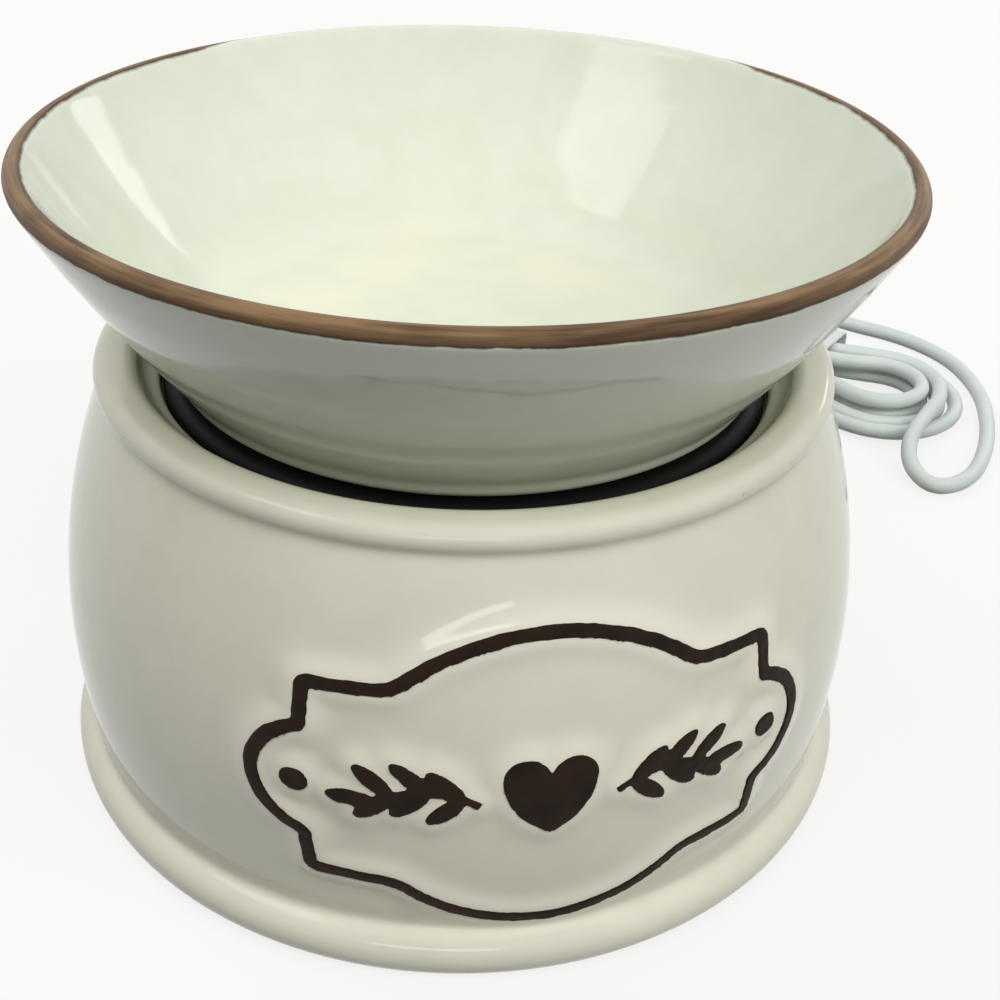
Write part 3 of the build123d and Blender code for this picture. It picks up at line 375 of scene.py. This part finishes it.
def plain_finish(name, dark, light, grain, rough, bump=0.1, depth=0.05, metal=0.0, gloss=0.5):
    """A moulded, pressed or drawn finish: two close tones over a grain size in mm, with a little bump."""
    material, tree, shader, place = new_material(
        name, Metallic=metal, IOR=1.5, Specular_IOR_Level=gloss
    )
    play, smoothest = 0.08, 0.04  # of the roughness, up and down, and its least value
    grains = add_node(
        tree,
        "ShaderNodeTexNoise",
        {"Vector": place, "Scale": per_mm(grain), "Detail": 4.0, "Roughness": 0.6},
    ).outputs["Fac"]
    colour = add_node(
        tree,
        "ShaderNodeMix",
        {"Factor": grains, "A": linear(dark), "B": linear(light)},
        data_type="RGBA",
    )
    tree.links.new(colour.outputs["Result"], shader.inputs["Base Color"])
    varied = add_node(
        tree,
        "ShaderNodeMapRange",
        {"Value": grains, "To Min": max(rough - play, smoothest), "To Max": rough + play},
    )
    tree.links.new(varied.outputs[0], shader.inputs["Roughness"])
    relief = add_node(tree, "ShaderNodeBump", {"Height": grains, "Strength": bump, "Distance": depth * mm})
    tree.links.new(relief.outputs[0], shader.inputs["Normal"])
    return material


def arc_points(a, b, c, step):
    """Points on the circle from a through b to c, about a step apart, without a itself."""
    (ax, ay), (bx, by), (cx, cy) = a, b, c
    d = 2 * (ax * (by - cy) + bx * (cy - ay) + cx * (ay - by))
    sa, sb, sc = ax * ax + ay * ay, bx * bx + by * by, cx * cx + cy * cy
    ox = (sa * (by - cy) + sb * (cy - ay) + sc * (ay - by)) / d
    oy = (sa * (cx - bx) + sb * (ax - cx) + sc * (bx - ax)) / d
    radius = math.hypot(ax - ox, ay - oy)
    start = math.atan2(ay - oy, ax - ox)
    way = 1 if d > 0 else -1
    sweep = (way * (math.atan2(cy - oy, cx - ox) - start)) % (2 * math.pi)
    count = max(2, round(radius * sweep / step))
    angles = [start + way * sweep * (i + 1) / count for i in range(count)]
    return [(ox + radius * math.cos(t), oy + radius * math.sin(t)) for t in angles]


def line_points(a, b, step):
    """Points on the straight from a to b, about a step apart, without a itself."""
    count = max(1, round(math.dist(a, b) / step))
    across, up = b[0] - a[0], b[1] - a[1]
    return [(a[0] + across * i / count, a[1] + up * i / count) for i in range(1, count + 1)]


def drawn(start, *runs):
    """A profile in mm from a start through runs: a step and an end, with a middle before it on an arc."""
    points = [start]
    for step, *through in runs:
        run = arc_points if len(through) == 2 else line_points
        points += run(start, *through, step)
        start = through[-1]
    return points


def softened(profile, passes):
    """An open profile with its creases eased, as glaze fills them, and its ends kept."""
    points = list(profile)
    for _ in range(passes):
        eased = [
            ((before[0] + 2 * x + after[0]) / 4, (before[1] + 2 * y + after[1]) / 4)
            for before, (x, y), after in zip(points, points[1:], points[2:])
        ]
        points = [points[0], *eased, points[-1]]
    return points


def spun(name, points, steps, closed=False, centre=(0, 0, 0), axis=(0, 0, 1)):
    """A piece swept once round an axis from a profile of points in metres."""
    bm = bmesh.new()
    verts = [bm.verts.new(point) for point in points]
    pairs = list(zip(verts, verts[1:])) + ([(verts[-1], verts[0])] if closed else [])
    edges = [bm.edges.new(pair) for pair in pairs]
    bmesh.ops.spin(
        bm,
        geom=verts + edges,
        cent=centre,
        axis=axis,
        angle=2 * math.pi,
        steps=steps,
        use_merge=True,
    )
    bmesh.ops.remove_doubles(bm, verts=bm.verts, dist=merge_distance)
    bmesh.ops.recalc_face_normals(bm, faces=bm.faces)
    return finished(name, bm)


def turned(name, profile, steps, closed=False):
    """A piece turned on the Z axis from a profile of radius and height in mm."""
    return spun(name, [(x * mm, 0.0, z * mm) for x, z in profile], steps, closed)


def finished(name, bm):
    """A bmesh made an object at the origin, smooth shaded."""
    mesh = bpy.data.meshes.new(name)
    bm.to_mesh(mesh)
    bm.free()
    mesh.polygons.foreach_set("use_smooth", [True] * len(mesh.polygons))
    piece = bpy.data.objects.new(name, mesh)
    bpy.context.scene.collection.objects.link(piece)
    return piece


def push_out(vertex, distance):
    """Move a vertex straight away from the Z axis."""
    grow = 1 + distance / math.hypot(vertex.co.x, vertex.co.y)
    vertex.co.x *= grow
    vertex.co.y *= grow


def dress(piece, material, body, slot, *nodes):
    """Give a piece its material and its body, and hide the CAD nodes that it stands for; the record slot is
    not used.
    """
    piece.data.materials.clear()
    piece.data.materials.append(material)
    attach(piece, body)
    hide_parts(*nodes)


def apply_modifiers(piece):
    """Make a piece's modifiers real."""
    shown = bpy.context.evaluated_depsgraph_get()
    mesh = bpy.data.meshes.new_from_object(piece.evaluated_get(shown))
    piece.modifiers.clear()
    old = piece.data
    piece.data = mesh
    bpy.data.meshes.remove(old)


class WarmerLooks(bpy.types.PropertyGroup):
    """Colours of glaze, stain and wax film as hex sRGB, and their borders."""

    glaze_pale: StringProperty(name="Pale glaze", description="Cream of the body", default="E4E2CF")
    glaze_deep: StringProperty(
        name="Deep glaze", description="Greyer cream where the glaze pools", default="DDDBC7"
    )
    # Paler cream round the relief: thinned glaze and a painted highlight of the lit swell.
    glaze_thin_and_sheen: StringProperty(
        name="Thin glaze", description="Glaze thinned over the relief", default="F2EEDC"
    )
    dish_pale: StringProperty(name="Pale dish", description="Cream of the dish", default="E1E5D6")
    dish_deep: StringProperty(name="Deep dish", description="Greyer cream of the dish", default="DADECC")
    speck: StringProperty(name="Speck", description="Iron specks in the glaze", default="8A6A45")
    # The dark rim is also the painted shade at the rim's borders, and the light rim the painted highlight
    # on its crown.
    rim_dark: StringProperty(name="Dark rim", description="Rim where the brush was full", default="332012")
    rim_light: StringProperty(name="Light rim", description="Rim where the brush ran dry", default="8A6F50")
    stain_dark: StringProperty(name="Dark stain", description="Oxide on the relief", default="120B06")
    stain_light: StringProperty(name="Worn stain", description="Oxide where it is wiped", default="2B1D12")
    wax_film: StringProperty(name="Wax film", description="Old wax on the dish's floor", default="E9E6CC")
    rim_low: FloatProperty(
        name="Rim border", description="Height of the brown's lower edge", default=115.4 * mm, unit="LENGTH"
    )
    rim_inner: FloatProperty(
        name="Rim inside", description="Radius of the brown's inner edge", default=71.9 * mm, unit="LENGTH"
    )
    rim_far: FloatVectorProperty(
        name="Far side",
        description="Way to the side where the crest is bare",
        default=(0.22, 0.975, 0.0),
        subtype="XYZ",
    )
    wax_line: FloatProperty(
        name="Wax line", description="Height where the wax film fades out", default=94 * mm, unit="LENGTH"
    )


class WarmerShapes(bpy.types.PropertyGroup):
    """Sizes that scene pieces add to the CAD frame."""

    relief_swell: FloatProperty(
        name="Relief swell", description="Glaze drawn up round the relief", default=0.8 * mm, unit="LENGTH"
    )
    relief_reach: FloatProperty(
        name="Relief reach", description="How far the swell runs out", default=4.6 * mm, unit="LENGTH"
    )
    relief_ragged: FloatProperty(
        name="Relief raggedness", description="Wander of the stained edges", default=0.1 * mm, unit="LENGTH"
    )
    cord_diameter: FloatProperty(
        name="Cord", description="Diameter of the mains cord", default=4.2 * mm, unit="LENGTH"
    )
    throwing_wave: FloatProperty(
        name="Throwing rings",
        description="Depth of the rings on the dish's wall",
        default=0.014 * mm,
        unit="LENGTH",
    )


class WarmerStage(bpy.types.PropertyGroup):
    """Camera and lights."""

    camera_place: FloatVectorProperty(
        name="Camera",
        description="Where the camera stands",
        default=(-0.045782, -0.231361, 0.194656),
        subtype="XYZ",
    )
    lens: FloatProperty(name="Lens", description="Focal length in mm on a 36 mm sensor", default=52.2)
    sky: FloatProperty(name="Sky", description="Strength of the even light all round", default=0.018)
    high: FloatProperty(
        name="High", description="Power of the high softbox in front", default=13.6, unit="POWER"
    )
    side: FloatProperty(
        name="Side", description="Power of the softbox at the right front", default=11.2, unit="POWER"
    )
    rear: FloatProperty(
        name="Rear", description="Power of the softbox at the left rear", default=8.5, unit="POWER"
    )
    rim: FloatProperty(
        name="Rim", description="Power of the softbox at the right rear", default=4.0, unit="POWER"
    )
    front_window: FloatProperty(
        name="Front window", description="Power of the window at the left", default=0.5, unit="POWER"
    )
    low_window: FloatProperty(
        name="Low window", description="Power of the low window in front", default=0.7, unit="POWER"
    )
    back_window: FloatProperty(
        name="Back window", description="Power of the window at the right rear", default=0.3, unit="POWER"
    )
    floor_lift: FloatProperty(name="Floor", description="White added to the table as seen", default=0.8)


# The barrel's bow, as in the CAD: its widest ring and its neck, radius and height in mm.
bulge, bulge_height = 74.25, 31.0
neck_ring, neck_height = 64.25, 77.4
barrel_arc = ((neck_height - bulge_height) ** 2 + (bulge - neck_ring) ** 2) / (2 * (bulge - neck_ring))


def barrel_radius(height):
    """Outer radius of the barrel at a height, both in mm."""
    return bulge - barrel_arc + math.sqrt(barrel_arc**2 - (height - bulge_height) ** 2)


class WARMER_OT_body(bpy.types.Operator):
    """Turn the glazed body and draw its glaze up round the raised plaque"""

    bl_idname = "warmer.body"
    bl_label = "Ceramic body"

    def execute(self, context):
        scene = context.scene
        waist_height, wall = 9.0, 4.5
        foot, foot_bead, waist = (74.6, 0.8), (76.0, 4.6), (barrel_radius(waist_height), waist_height)
        neck, collar, collar_top = (neck_ring, neck_height), (65.3, 79.6), (62.63, 82.2)
        lip, lip_round, lip_fall = (60.43, 82.2), (58.7, 81.65), (57.6, 80.2)
        throat_round, throat, ledge = (56.25, 78.23), (54.1, 77.2), (54.1, 74.0)
        outer = drawn(
            foot,
            (0.6, foot_bead, waist),
            (0.8, (bulge, bulge_height), neck),
            (0.5, collar, collar_top),
            (0.6, lip),
            (0.4, lip_round, lip_fall),
            (0.5, throat_round, throat),
            (0.8, ledge),
        )
        ledge_edge, shelf_edge = (49.5, 74.0), (49.5, 69.0)
        shelf, hollow, skirt = ((barrel_radius(z) - wall, z) for z in (69.0, bulge_height, 12.0))
        base_seat = (62.0, 7.5), (62.0, 3.5), (67.2, 3.5), (67.2, 0.8), (71.0, 0.8)
        inner = drawn(
            ledge,
            (2.3, ledge_edge),
            (2.5, shelf_edge),
            (4.0, shelf),
            (5.0, hollow, skirt),
            *((3.0, corner) for corner in base_seat),
        )
        body = turned("glazed_body", softened(outer, 3) + inner[1:], steps=420, closed=True)

        # The glaze swells up to the relief on the front of the barrel's outer skin, and is painted paler
        # there: partly thinned glaze, partly a painted highlight of the lit swell.
        front, low, high, skin, palest = -30 * mm, 8 * mm, 74 * mm, 1.5, 0.75
        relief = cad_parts["plaque_moulding"].data
        tree = BVHTree.FromPolygons(
            [v.co for v in relief.vertices], [tuple(p.vertices) for p in relief.polygons]
        )
        thin_and_sheen = body.data.attributes.new("glaze_thin_and_sheen", "FLOAT", "POINT")
        farthest = 2.2 * scene.warmer_shapes.relief_reach
        falloff = 0.55 * scene.warmer_shapes.relief_reach
        for i, v in enumerate(body.data.vertices):
            if v.co.y > front or not low < v.co.z < high:
                continue
            if math.hypot(v.co.x, v.co.y) < (barrel_radius(v.co.z / mm) - skin) * mm:
                continue
            spot, _, _, distance = tree.find_nearest(v.co, farthest)
            if spot is None:
                continue
            near = math.exp(-((distance / falloff) ** 2))
            push_out(v, scene.warmer_shapes.relief_swell * near)
            # Painted paleness near the relief: thinned glaze and a painted highlight.
            thin_and_sheen.data[i].value = palest * near

        # The cord's way in at the back: a spot face for the bush's flange and a bore behind it.
        height, outside, inside = 19.5, 80.0, 62.0
        face_radius, face_depth, bore = 8.2, 72.66, 5.0
        stepped = (
            (0.0, outside),
            (face_radius, outside),
            (face_radius, face_depth),
            (bore, face_depth),
            (bore, inside),
            (0.0, inside),
        )
        entry = spun(
            "entry_cut",
            [(x * mm, y * mm, height * mm) for x, y in stepped],
            steps=48,
            centre=(0, 0, height * mm),
            axis=(0, 1, 0),
        )
        cut = body.modifiers.new("cord entry", "BOOLEAN")
        cut.object = entry
        cut.operation = "DIFFERENCE"
        apply_modifiers(body)
        bpy.data.objects.remove(entry)
        dress(body, stoneware_glaze(scene.warmer_looks), "warmer", "cream_glaze", "ceramic_body")
        return {"FINISHED"}


class WARMER_OT_plaque(bpy.types.Operator):
    """Round off the plaque's relief and stain it"""

    bl_idname = "warmer.plaque"
    bl_label = "Plaque relief"

    def execute(self, context):
        bm = bmesh.new()
        bm.from_mesh(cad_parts["plaque_moulding"].data)
        bmesh.ops.remove_doubles(bm, verts=bm.verts, dist=merge_distance)
        relief = finished("stained_relief", bm)
        remesh = relief.modifiers.new("even skin", "REMESH")
        remesh.mode = "VOXEL"
        remesh.voxel_size = 0.3 * mm
        ease = relief.modifiers.new("worn edges", "SMOOTH")
        ease.factor = 0.5
        ease.iterations = 4
        apply_modifiers(relief)
        # The edges' wander has a set seed: without one it follows the clock and differs from run to run.
        ragged, wander_seed = context.scene.warmer_shapes.relief_ragged, 1
        fine, coarse = 1.7 * mm, 4.0 * mm
        noise.seed_set(wander_seed)
        for v in relief.data.vertices:
            v.co += ragged * (noise.noise_vector(v.co / fine) + noise.noise_vector(v.co / coarse))
        relief.data.polygons.foreach_set("use_smooth", [True] * len(relief.data.polygons))
        dress(relief, oxide_stain(context.scene.warmer_looks), "warmer", "brown_glaze", "plaque_moulding")
        return {"FINISHED"}


class WARMER_OT_dish(bpy.types.Operator):
    """Turn the dish, with the faint rings of its making"""

    bl_idname = "warmer.dish"
    bl_label = "Dish"

    def execute(self, context):
        scene = context.scene
        low, top, wall = 78.3, 117.6, 4.0
        hollow, floor = low + 0.8, low + 4.6
        foot, foot_round, base = (49.0, low), (51.208, low + 0.928), (52.2, 81.5)
        edge, crown, inner = (75.0, top - 2.2), (73.4, top - 0.22), (71.8, top - 0.44)
        # The wall bows out by 1 mm from the straight between base and edge.
        run = math.dist(base, edge)
        out = ((edge[1] - base[1]) / run, (base[0] - edge[0]) / run)
        middle = ((edge[0] + base[0]) / 2 + out[0], (edge[1] + base[1]) / 2 + out[1])
        bowl = (middle[0] - wall * out[0], middle[1] - wall * out[1])
        cove = (base[0] - wall * out[0] + 2.75, floor + 5.0)
        cove_round, floor_edge = (46.82, floor + 1.31), (40.9, floor)
        profile = drawn(
            (0.0, hollow),
            (6.0, (43.0, hollow)),
            (0.6, (43.8, low)),
            (1.2, foot),
            (0.6, foot_round, base),
            (0.8, middle, edge),
            (0.35, crown, inner),
            (0.8, bowl, cove),
            (0.7, cove_round, floor_edge),
            (3.0, (0.0, floor)),
        )
        dish = turned("turned_dish", softened(profile, 2), steps=320)

        # Throwing rings on both faces of the wall, eased out towards its base and its rim: a quick and a
        # slow wave up the wall, each swaying a little round it.
        ring_low, ring_high, ring_ease, ring_radius = 84.0, 113.5, 4.0, 46 * mm
        for v in dish.data.vertices:
            up = v.co.z / mm
            if math.hypot(v.co.x, v.co.y) < ring_radius or not ring_low < up < ring_high:
                continue
            turn = math.atan2(v.co.y, v.co.x)
            quick = math.sin(up * 0.95 + 0.6 * math.sin(turn))
            slow = 0.6 * math.sin(up * 0.41 + 1.3 * math.sin(2 * turn + 1))
            ease = min(1.0, (up - ring_low) / ring_ease, (ring_high - up) / ring_ease)
            push_out(v, scene.warmer_shapes.throwing_wave * (quick + slow) * ease)
        dress(dish, dish_glaze(scene.warmer_looks), "dish", "dish_glaze", "wax_dish")
        return {"FINISHED"}


class WARMER_OT_plate(bpy.types.Operator):
    """Press the black hot plate"""

    bl_idname = "warmer.plate"
    bl_label = "Hot plate"

    def execute(self, context):
        top, under, hem = 78.3, 77.1, 74.8
        shoulder, shoulder_round, skirt_top = (51.3, top), (53.0, 77.6), (53.7, 75.9)
        skirt, skirt_inside = 53.7, 52.5
        boss, boss_foot, thread, thread_end = 5.0, 72.9, 2.1, 75.9
        profile = drawn(
            (0.0, top),
            (6.0, shoulder),
            (0.4, shoulder_round, skirt_top),
            (0.6, (skirt, hem)),
            (0.6, (skirt_inside, hem)),
            (1.2, (skirt_inside, under)),
            (8.0, (boss, under)),
            (2.1, (boss, boss_foot)),
            (1.5, (thread, boss_foot)),
            (1.5, (thread, thread_end)),
            (1.1, (0.0, thread_end)),
        )
        plate = turned("pressed_plate", profile, steps=256)
        # Stove enamel: satin black, dull enough for the white room not to grey it.
        enamel = plain_finish(
            "black_stove_enamel", "0B0B0C", "161617", 3.0, 0.5, bump=0.12, depth=0.06, gloss=0.16
        )
        dress(plate, enamel, "warmer", "black_enamel", "hot_plate")
        return {"FINISHED"}


def cord_line(name, points, radius):
    """A cord as one smooth NURBS curve along its route, points in mm and radius in metres."""
    curve = bpy.data.curves.new(name, "CURVE")
    curve.dimensions = "3D"
    spline = curve.splines.new("NURBS")
    spline.points.add(len(points) - 1)
    for point, place in zip(spline.points, points):
        point.co = (*(c * mm for c in place), 1.0)
    spline.order_u = 3
    spline.use_endpoint_u = True
    spline.resolution_u = 8
    curve.bevel_depth = radius
    curve.bevel_resolution = 6
    curve.use_fill_caps = True
    piece = bpy.data.objects.new(name, curve)
    bpy.context.scene.collection.objects.link(piece)
    return piece


# The hank, as in the CAD, in mm. Stations count quarter turns from its first tied strand.
hank_way = math.radians(-46)
hank_along = Vector((math.cos(hank_way), math.sin(hank_way), 0))
hank_across = Vector((math.sin(hank_way), -math.cos(hank_way), 0))
hank_middle = Vector((126.0, 120.0, 3.0))
hank_pitch = 4.9  # from one turn to the next, beside it or on top of it
hank_fold, hank_waist = 10.5, 3.4  # innermost fold's radius and half the innermost tied width
hank_reach, hank_far_reach = 21.0, 24.0  # from the tie to the folds' middles at either end
hank_first, hank_climb, hank_top, hank_last = -1, 10, 12, 17  # stations
hank_lead = 8.4  # straight run into the hank and out of it


def hank_point(station):
    """The cord's middle at a quarter-turn station of the hank, in mm."""
    past = max(hank_climb - station, station - hank_top)
    spread = (past + 1) / 4 if past >= 1 else max(past, 0) / 2
    fold, waist = hank_fold + hank_pitch * spread, hank_waist + hank_pitch * spread
    step = station % 4
    reach = hank_reach if step <= 2 else hank_far_reach
    part = (step, 2 - step, step - 2, 4 - step)[int(step)]
    draw = 2 * math.atan((fold - waist) / reach)
    neck = reach / math.sin(draw) - fold
    gone = part * (neck * draw + fold * (math.pi / 2 + draw))
    if gone < neck * draw:
        turn = gone / neck
        u, v = neck * math.sin(turn), waist + neck * (1 - math.cos(turn))
    else:
        turn = math.pi / 2 + draw - (gone - neck * draw) / fold
        u, v = reach + fold * math.cos(turn), fold * math.sin(turn)
    u *= 1 if step < 2 else -1
    v *= -1 if step < 1 or step >= 3 else 1
    rise = hank_pitch * min(max((station - hank_climb) / (hank_top - hank_climb), 0), 1)
    return hank_middle + hank_along * u + hank_across * v + Vector((0, 0, rise))


class WARMER_OT_cord(bpy.types.Operator):
    """Lay the mains cord: boot to switch, then through the hank to the plug"""

    bl_idname = "warmer.cord"
    bl_label = "Mains cord"

    def execute(self, context):
        radius = context.scene.warmer_shapes.cord_diameter / 2
        # Soft white PVC: satin, with a faint drift of tone along it.
        sheath = plain_finish("soft_white_pvc", "CBD4CF", "DCE3DE", 12.0, 0.36, bump=0.05, depth=0.05)
        near = [
            (0, 98.26, 19.5),
            (0, 104.2, 19.5),
            (-4, 113.2, 16),
            (-14.1, 121, 9.6),
            (-22, 128.9, 6),
            (-22, 135.6, 6),
        ]
        lead = cord_line("cord_to_switch", near, radius)
        dress(lead, sheath, "warmer", "cord_pvc", "cord_lead")
        far = [
            (-22, 178.4, 6),
            (-22, 186, 6),
            (-18, 199, 3.4),
            (-6, 208, 2.1),
            (10, 208, 2.1),
            (24, 198, 2.1),
            (33, 181, 2.1),
            (40, 163, 2.1),
            (50, 149, 2.1),
            (64, 142, 2.1),
            (78, 144, 2.6),
            hank_point(hank_first) + hank_across * hank_lead,
        ]
        quarters = (hank_last - hank_first) * 4
        far += [hank_point(hank_first + i / 4) for i in range(quarters + 1)]
        far += [
            hank_point(hank_last) + hank_across * hank_lead,
            (136, 75.5, 6.6),
            (132, 66, 3.4),
            (134.5, 56, 2.1),
            (146, 58.5, 2.1),
            (157, 71, 2.1),
            (166.5, 87.5, 2.1),
            (173, 105.5, 2.1),
            (174, 125, 2.1),
            (166, 142, 2.1),
            (152, 153.5, 2.2),
            (141, 164, 3.4),
            (131.5, 175.5, 5.8),
            (120, 182, 7),
            (111, 182, 7),
        ]
        run = cord_line("cord_to_plug", far, radius)
        dress(run, sheath, "warmer", "cord_pvc", "cord_mid", "cord_hank", "cord_tail")
        return {"FINISHED"}


class WARMER_OT_fittings(bpy.types.Operator):
    """Finish the CAD pieces that keep their own shape"""

    bl_idname = "warmer.fittings"
    bl_label = "Fittings"

    def execute(self, context):
        finishes = {
            # Moulded ABS: smooth and glossy, tones barely apart.
            plain_finish("moulded_white_abs", "D3D7D5", "DFE2E0", 4.0, 0.3, bump=0.06, depth=0.04): (
                "strain_relief",
                "switch_base",
                "switch_cover",
                "switch_rocker",
                "plug_body",
                "hank_tie",
                "crimp_caps",
            ),
            # Zinc-plated steel: dull metal with a fine spangle.
            plain_finish("zinc_plated_steel", "8F9294", "B4B6B6", 1.5, 0.34, metal=1.0): (
                "heater_cover",
                "tie_rod",
                "cover_washer",
                "cover_nut",
                "base_washer",
                "base_nut",
                "thermal_fuse",
                "fuse_clip",
                "clamp_screws",
                "switch_screws",
                "rocker_pin",
            ),
            # Stamped brass: warm, lightly tarnished.
            plain_finish("stamped_brass", "A98443", "C9A55C", 2.5, 0.28, metal=1.0): (
                "terminal_posts",
                "switch_contacts",
                "plug_blades",
            ),
            # Painted steel base: satin off-white with a slight orange peel.
            plain_finish("satin_base_paint", "CFCBBE", "DBD7CA", 2.0, 0.45, bump=0.15, depth=0.06): (
                "base_plate",
            ),
            # Rubber pads: matt black with a dusty bloom.
            plain_finish("moulded_rubber", "181818", "2C2C2B", 1.8, 0.75, bump=0.25, depth=0.08): (
                "rubber_feet",
            ),
            # Fibre pad and gasket: matt, woolly white.
            plain_finish("heatproof_fibre", "C9C5B8", "E2DFD4", 0.9, 0.9, bump=0.6, depth=0.2): (
                "plate_gasket",
                "heater_insulation",
            ),
            # Mica sheet: flaky amber, half gloss.
            plain_finish("mica_sheet", "8C7650", "B39C6E", 5.0, 0.35, bump=0.2, depth=0.05): (
                "heating_element",
            ),
            # Steatite beads: dense unglazed white.
            plain_finish("steatite", "DAD6CA", "EAE7DD", 1.0, 0.6, bump=0.2, depth=0.05): (
                "terminal_beads",
            ),
            # Silicone wire sleeve and PVC sheath: soft, even.
            plain_finish("wire_sleeve", "CFCFC8", "DEDED8", 3.0, 0.45, bump=0.08): (
                "heater_leads",
                "cord_cores",
                "cord_inner",
            ),
            # Moulded nylon clamp: satin, slightly grained.
            plain_finish("moulded_nylon", "B9B6AC", "C8C5BC", 1.4, 0.5, bump=0.15, depth=0.05): (
                "clamp_block",
                "clamp_bridge",
            ),
        }
        for material, names in finishes.items():
            for name in names:
                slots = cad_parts[name].data.materials
                slots.clear()
                slots.append(material)
        return {"FINISHED"}


def seen_rays(tree):
    """1 for the rays that show the white room: to the eye, in a gloss and through glass."""
    path = add_node(tree, "ShaderNodeLightPath").outputs
    shown = path["Is Camera Ray"]
    for ray in ("Is Glossy Ray", "Is Transmission Ray"):
        shown = add_node(tree, "ShaderNodeMath", {0: shown, 1: path[ray]}, operation="MAXIMUM").outputs[0]
    return shown


class WARMER_OT_stage(bpy.types.Operator):
    """Set the camera, the soft lights and the white floor"""

    bl_idname = "warmer.stage"
    bl_label = "Stage"

    def execute(self, context):
        scene = context.scene
        stage = scene.warmer_stage
        white = (1, 1, 1, 1)
        scene.view_settings.view_transform = "Standard"
        lens = bpy.data.cameras.new("photo_camera")
        lens.lens = stage.lens
        lens.sensor_width = 36.0
        lens.clip_start = 0.01
        camera = bpy.data.objects.new("photo_camera", lens)
        right = Vector((0.97868, -0.20258, 0.03383))
        ahead = Vector((0.18926, 0.82556, -0.53163))
        facing = Matrix((right, ahead.cross(right) * -1, ahead * -1)).transposed().to_4x4()
        camera.matrix_world = Matrix.Translation(stage.camera_place) @ facing
        scene.collection.objects.link(camera)
        scene.camera = camera

        world = bpy.data.worlds.new("white_room")
        world.use_nodes = True
        scene.world = world
        tree = world.node_tree
        tree.nodes.clear()
        strength = add_node(
            tree, "ShaderNodeMapRange", {"Value": seen_rays(tree), "To Min": stage.sky, "To Max": 1.0}
        )
        room = add_node(tree, "ShaderNodeBackground", {"Color": white, "Strength": strength.outputs[0]})
        add_node(tree, "ShaderNodeOutputWorld", {"Surface": room.outputs[0]})

        # Table top: grey to the lamps, so it throws little light up, and lifted to white as it is seen.
        table_half = 3.0  # metres from its middle to its edge
        bm = bmesh.new()
        bmesh.ops.create_grid(bm, x_segments=1, y_segments=1, size=table_half)
        floor = finished("white_table", bm)
        material, tree, shader, _ = new_material(
            "white_table_top", Base_Color=linear("656460"), Roughness=0.8, Emission_Color=white
        )
        lift = add_node(tree, "ShaderNodeMapRange", {"Value": seen_rays(tree), "To Max": stage.floor_lift})
        tree.links.new(lift.outputs[0], shader.inputs["Emission Strength"])
        floor.data.materials.append(material)

        # The glaze mirrors the windows and not the softboxes.
        barrel, dish_right, dish_left = (0.0, 0.0, 0.06), (0.04, 0.05, 0.10), (-0.06, 0.03, 0.11)
        square = (0.8, 0.8)
        for name, place, aim, size, power, mirrored in (
            ("high_softbox", (-0.27, -0.75, 1.45), barrel, (1.6, 0.8), stage.high, False),
            ("side_softbox", (0.93, -0.93, 0.98), barrel, square, stage.side, False),
            ("rear_softbox", (-0.68, 0.68, 1.33), barrel, square, stage.rear, False),
            ("rim_softbox", (0.93, 0.93, 0.98), barrel, square, stage.rim, False),
            ("front_window", (-0.59, -0.17, 0.81), dish_right, (0.42, 0.22), stage.front_window, True),
            ("low_window", (-0.25, -0.92, 0.36), barrel, (0.55, 0.11), stage.low_window, True),
            ("back_window", (0.95, 0.68, 0.42), dish_left, (0.26, 0.16), stage.back_window, True),
        ):
            lamp = bpy.data.lights.new(name, "AREA")
            lamp.shape = "RECTANGLE"
            lamp.size, lamp.size_y = size
            lamp.energy = power
            light = bpy.data.objects.new(name, lamp)
            light.location = place
            light.visible_glossy = mirrored
            light.rotation_euler = (Vector(aim) - Vector(place)).to_track_quat("-Z", "Y").to_euler()
            scene.collection.objects.link(light)
        return {"FINISHED"}


class WARMER_PT_pieces(bpy.types.Panel):
    """The warmer's pieces, in the order they are made"""

    bl_idname = "WARMER_PT_pieces"
    bl_label = "Wax melt warmer"
    bl_space_type = "VIEW_3D"
    bl_region_type = "UI"
    bl_category = "Warmer"

    def draw(self, context):
        for operator in operators:
            self.layout.operator(operator.bl_idname)


operators = (
    WARMER_OT_stage,
    WARMER_OT_cord,
    WARMER_OT_body,
    WARMER_OT_plaque,
    WARMER_OT_dish,
    WARMER_OT_plate,
    WARMER_OT_fittings,
)
classes = (WarmerLooks, WarmerShapes, WarmerStage, *operators, WARMER_PT_pieces)


def register():
    for cls in classes:
        bpy.utils.register_class(cls)
    bpy.types.Scene.warmer_looks = PointerProperty(type=WarmerLooks)
    bpy.types.Scene.warmer_shapes = PointerProperty(type=WarmerShapes)
    bpy.types.Scene.warmer_stage = PointerProperty(type=WarmerStage)


def unregister():
    del bpy.types.Scene.warmer_stage
    del bpy.types.Scene.warmer_shapes
    del bpy.types.Scene.warmer_looks
    for cls in reversed(classes):
        bpy.utils.unregister_class(cls)


def main():
    """Make every piece."""
    register()
    bpy.ops.warmer.stage()
    bpy.ops.warmer.cord()
    bpy.ops.warmer.body()
    bpy.ops.warmer.plaque()
    bpy.ops.warmer.dish()
    bpy.ops.warmer.plate()
    bpy.ops.warmer.fittings()


if __name__ == "__main__":
    main()
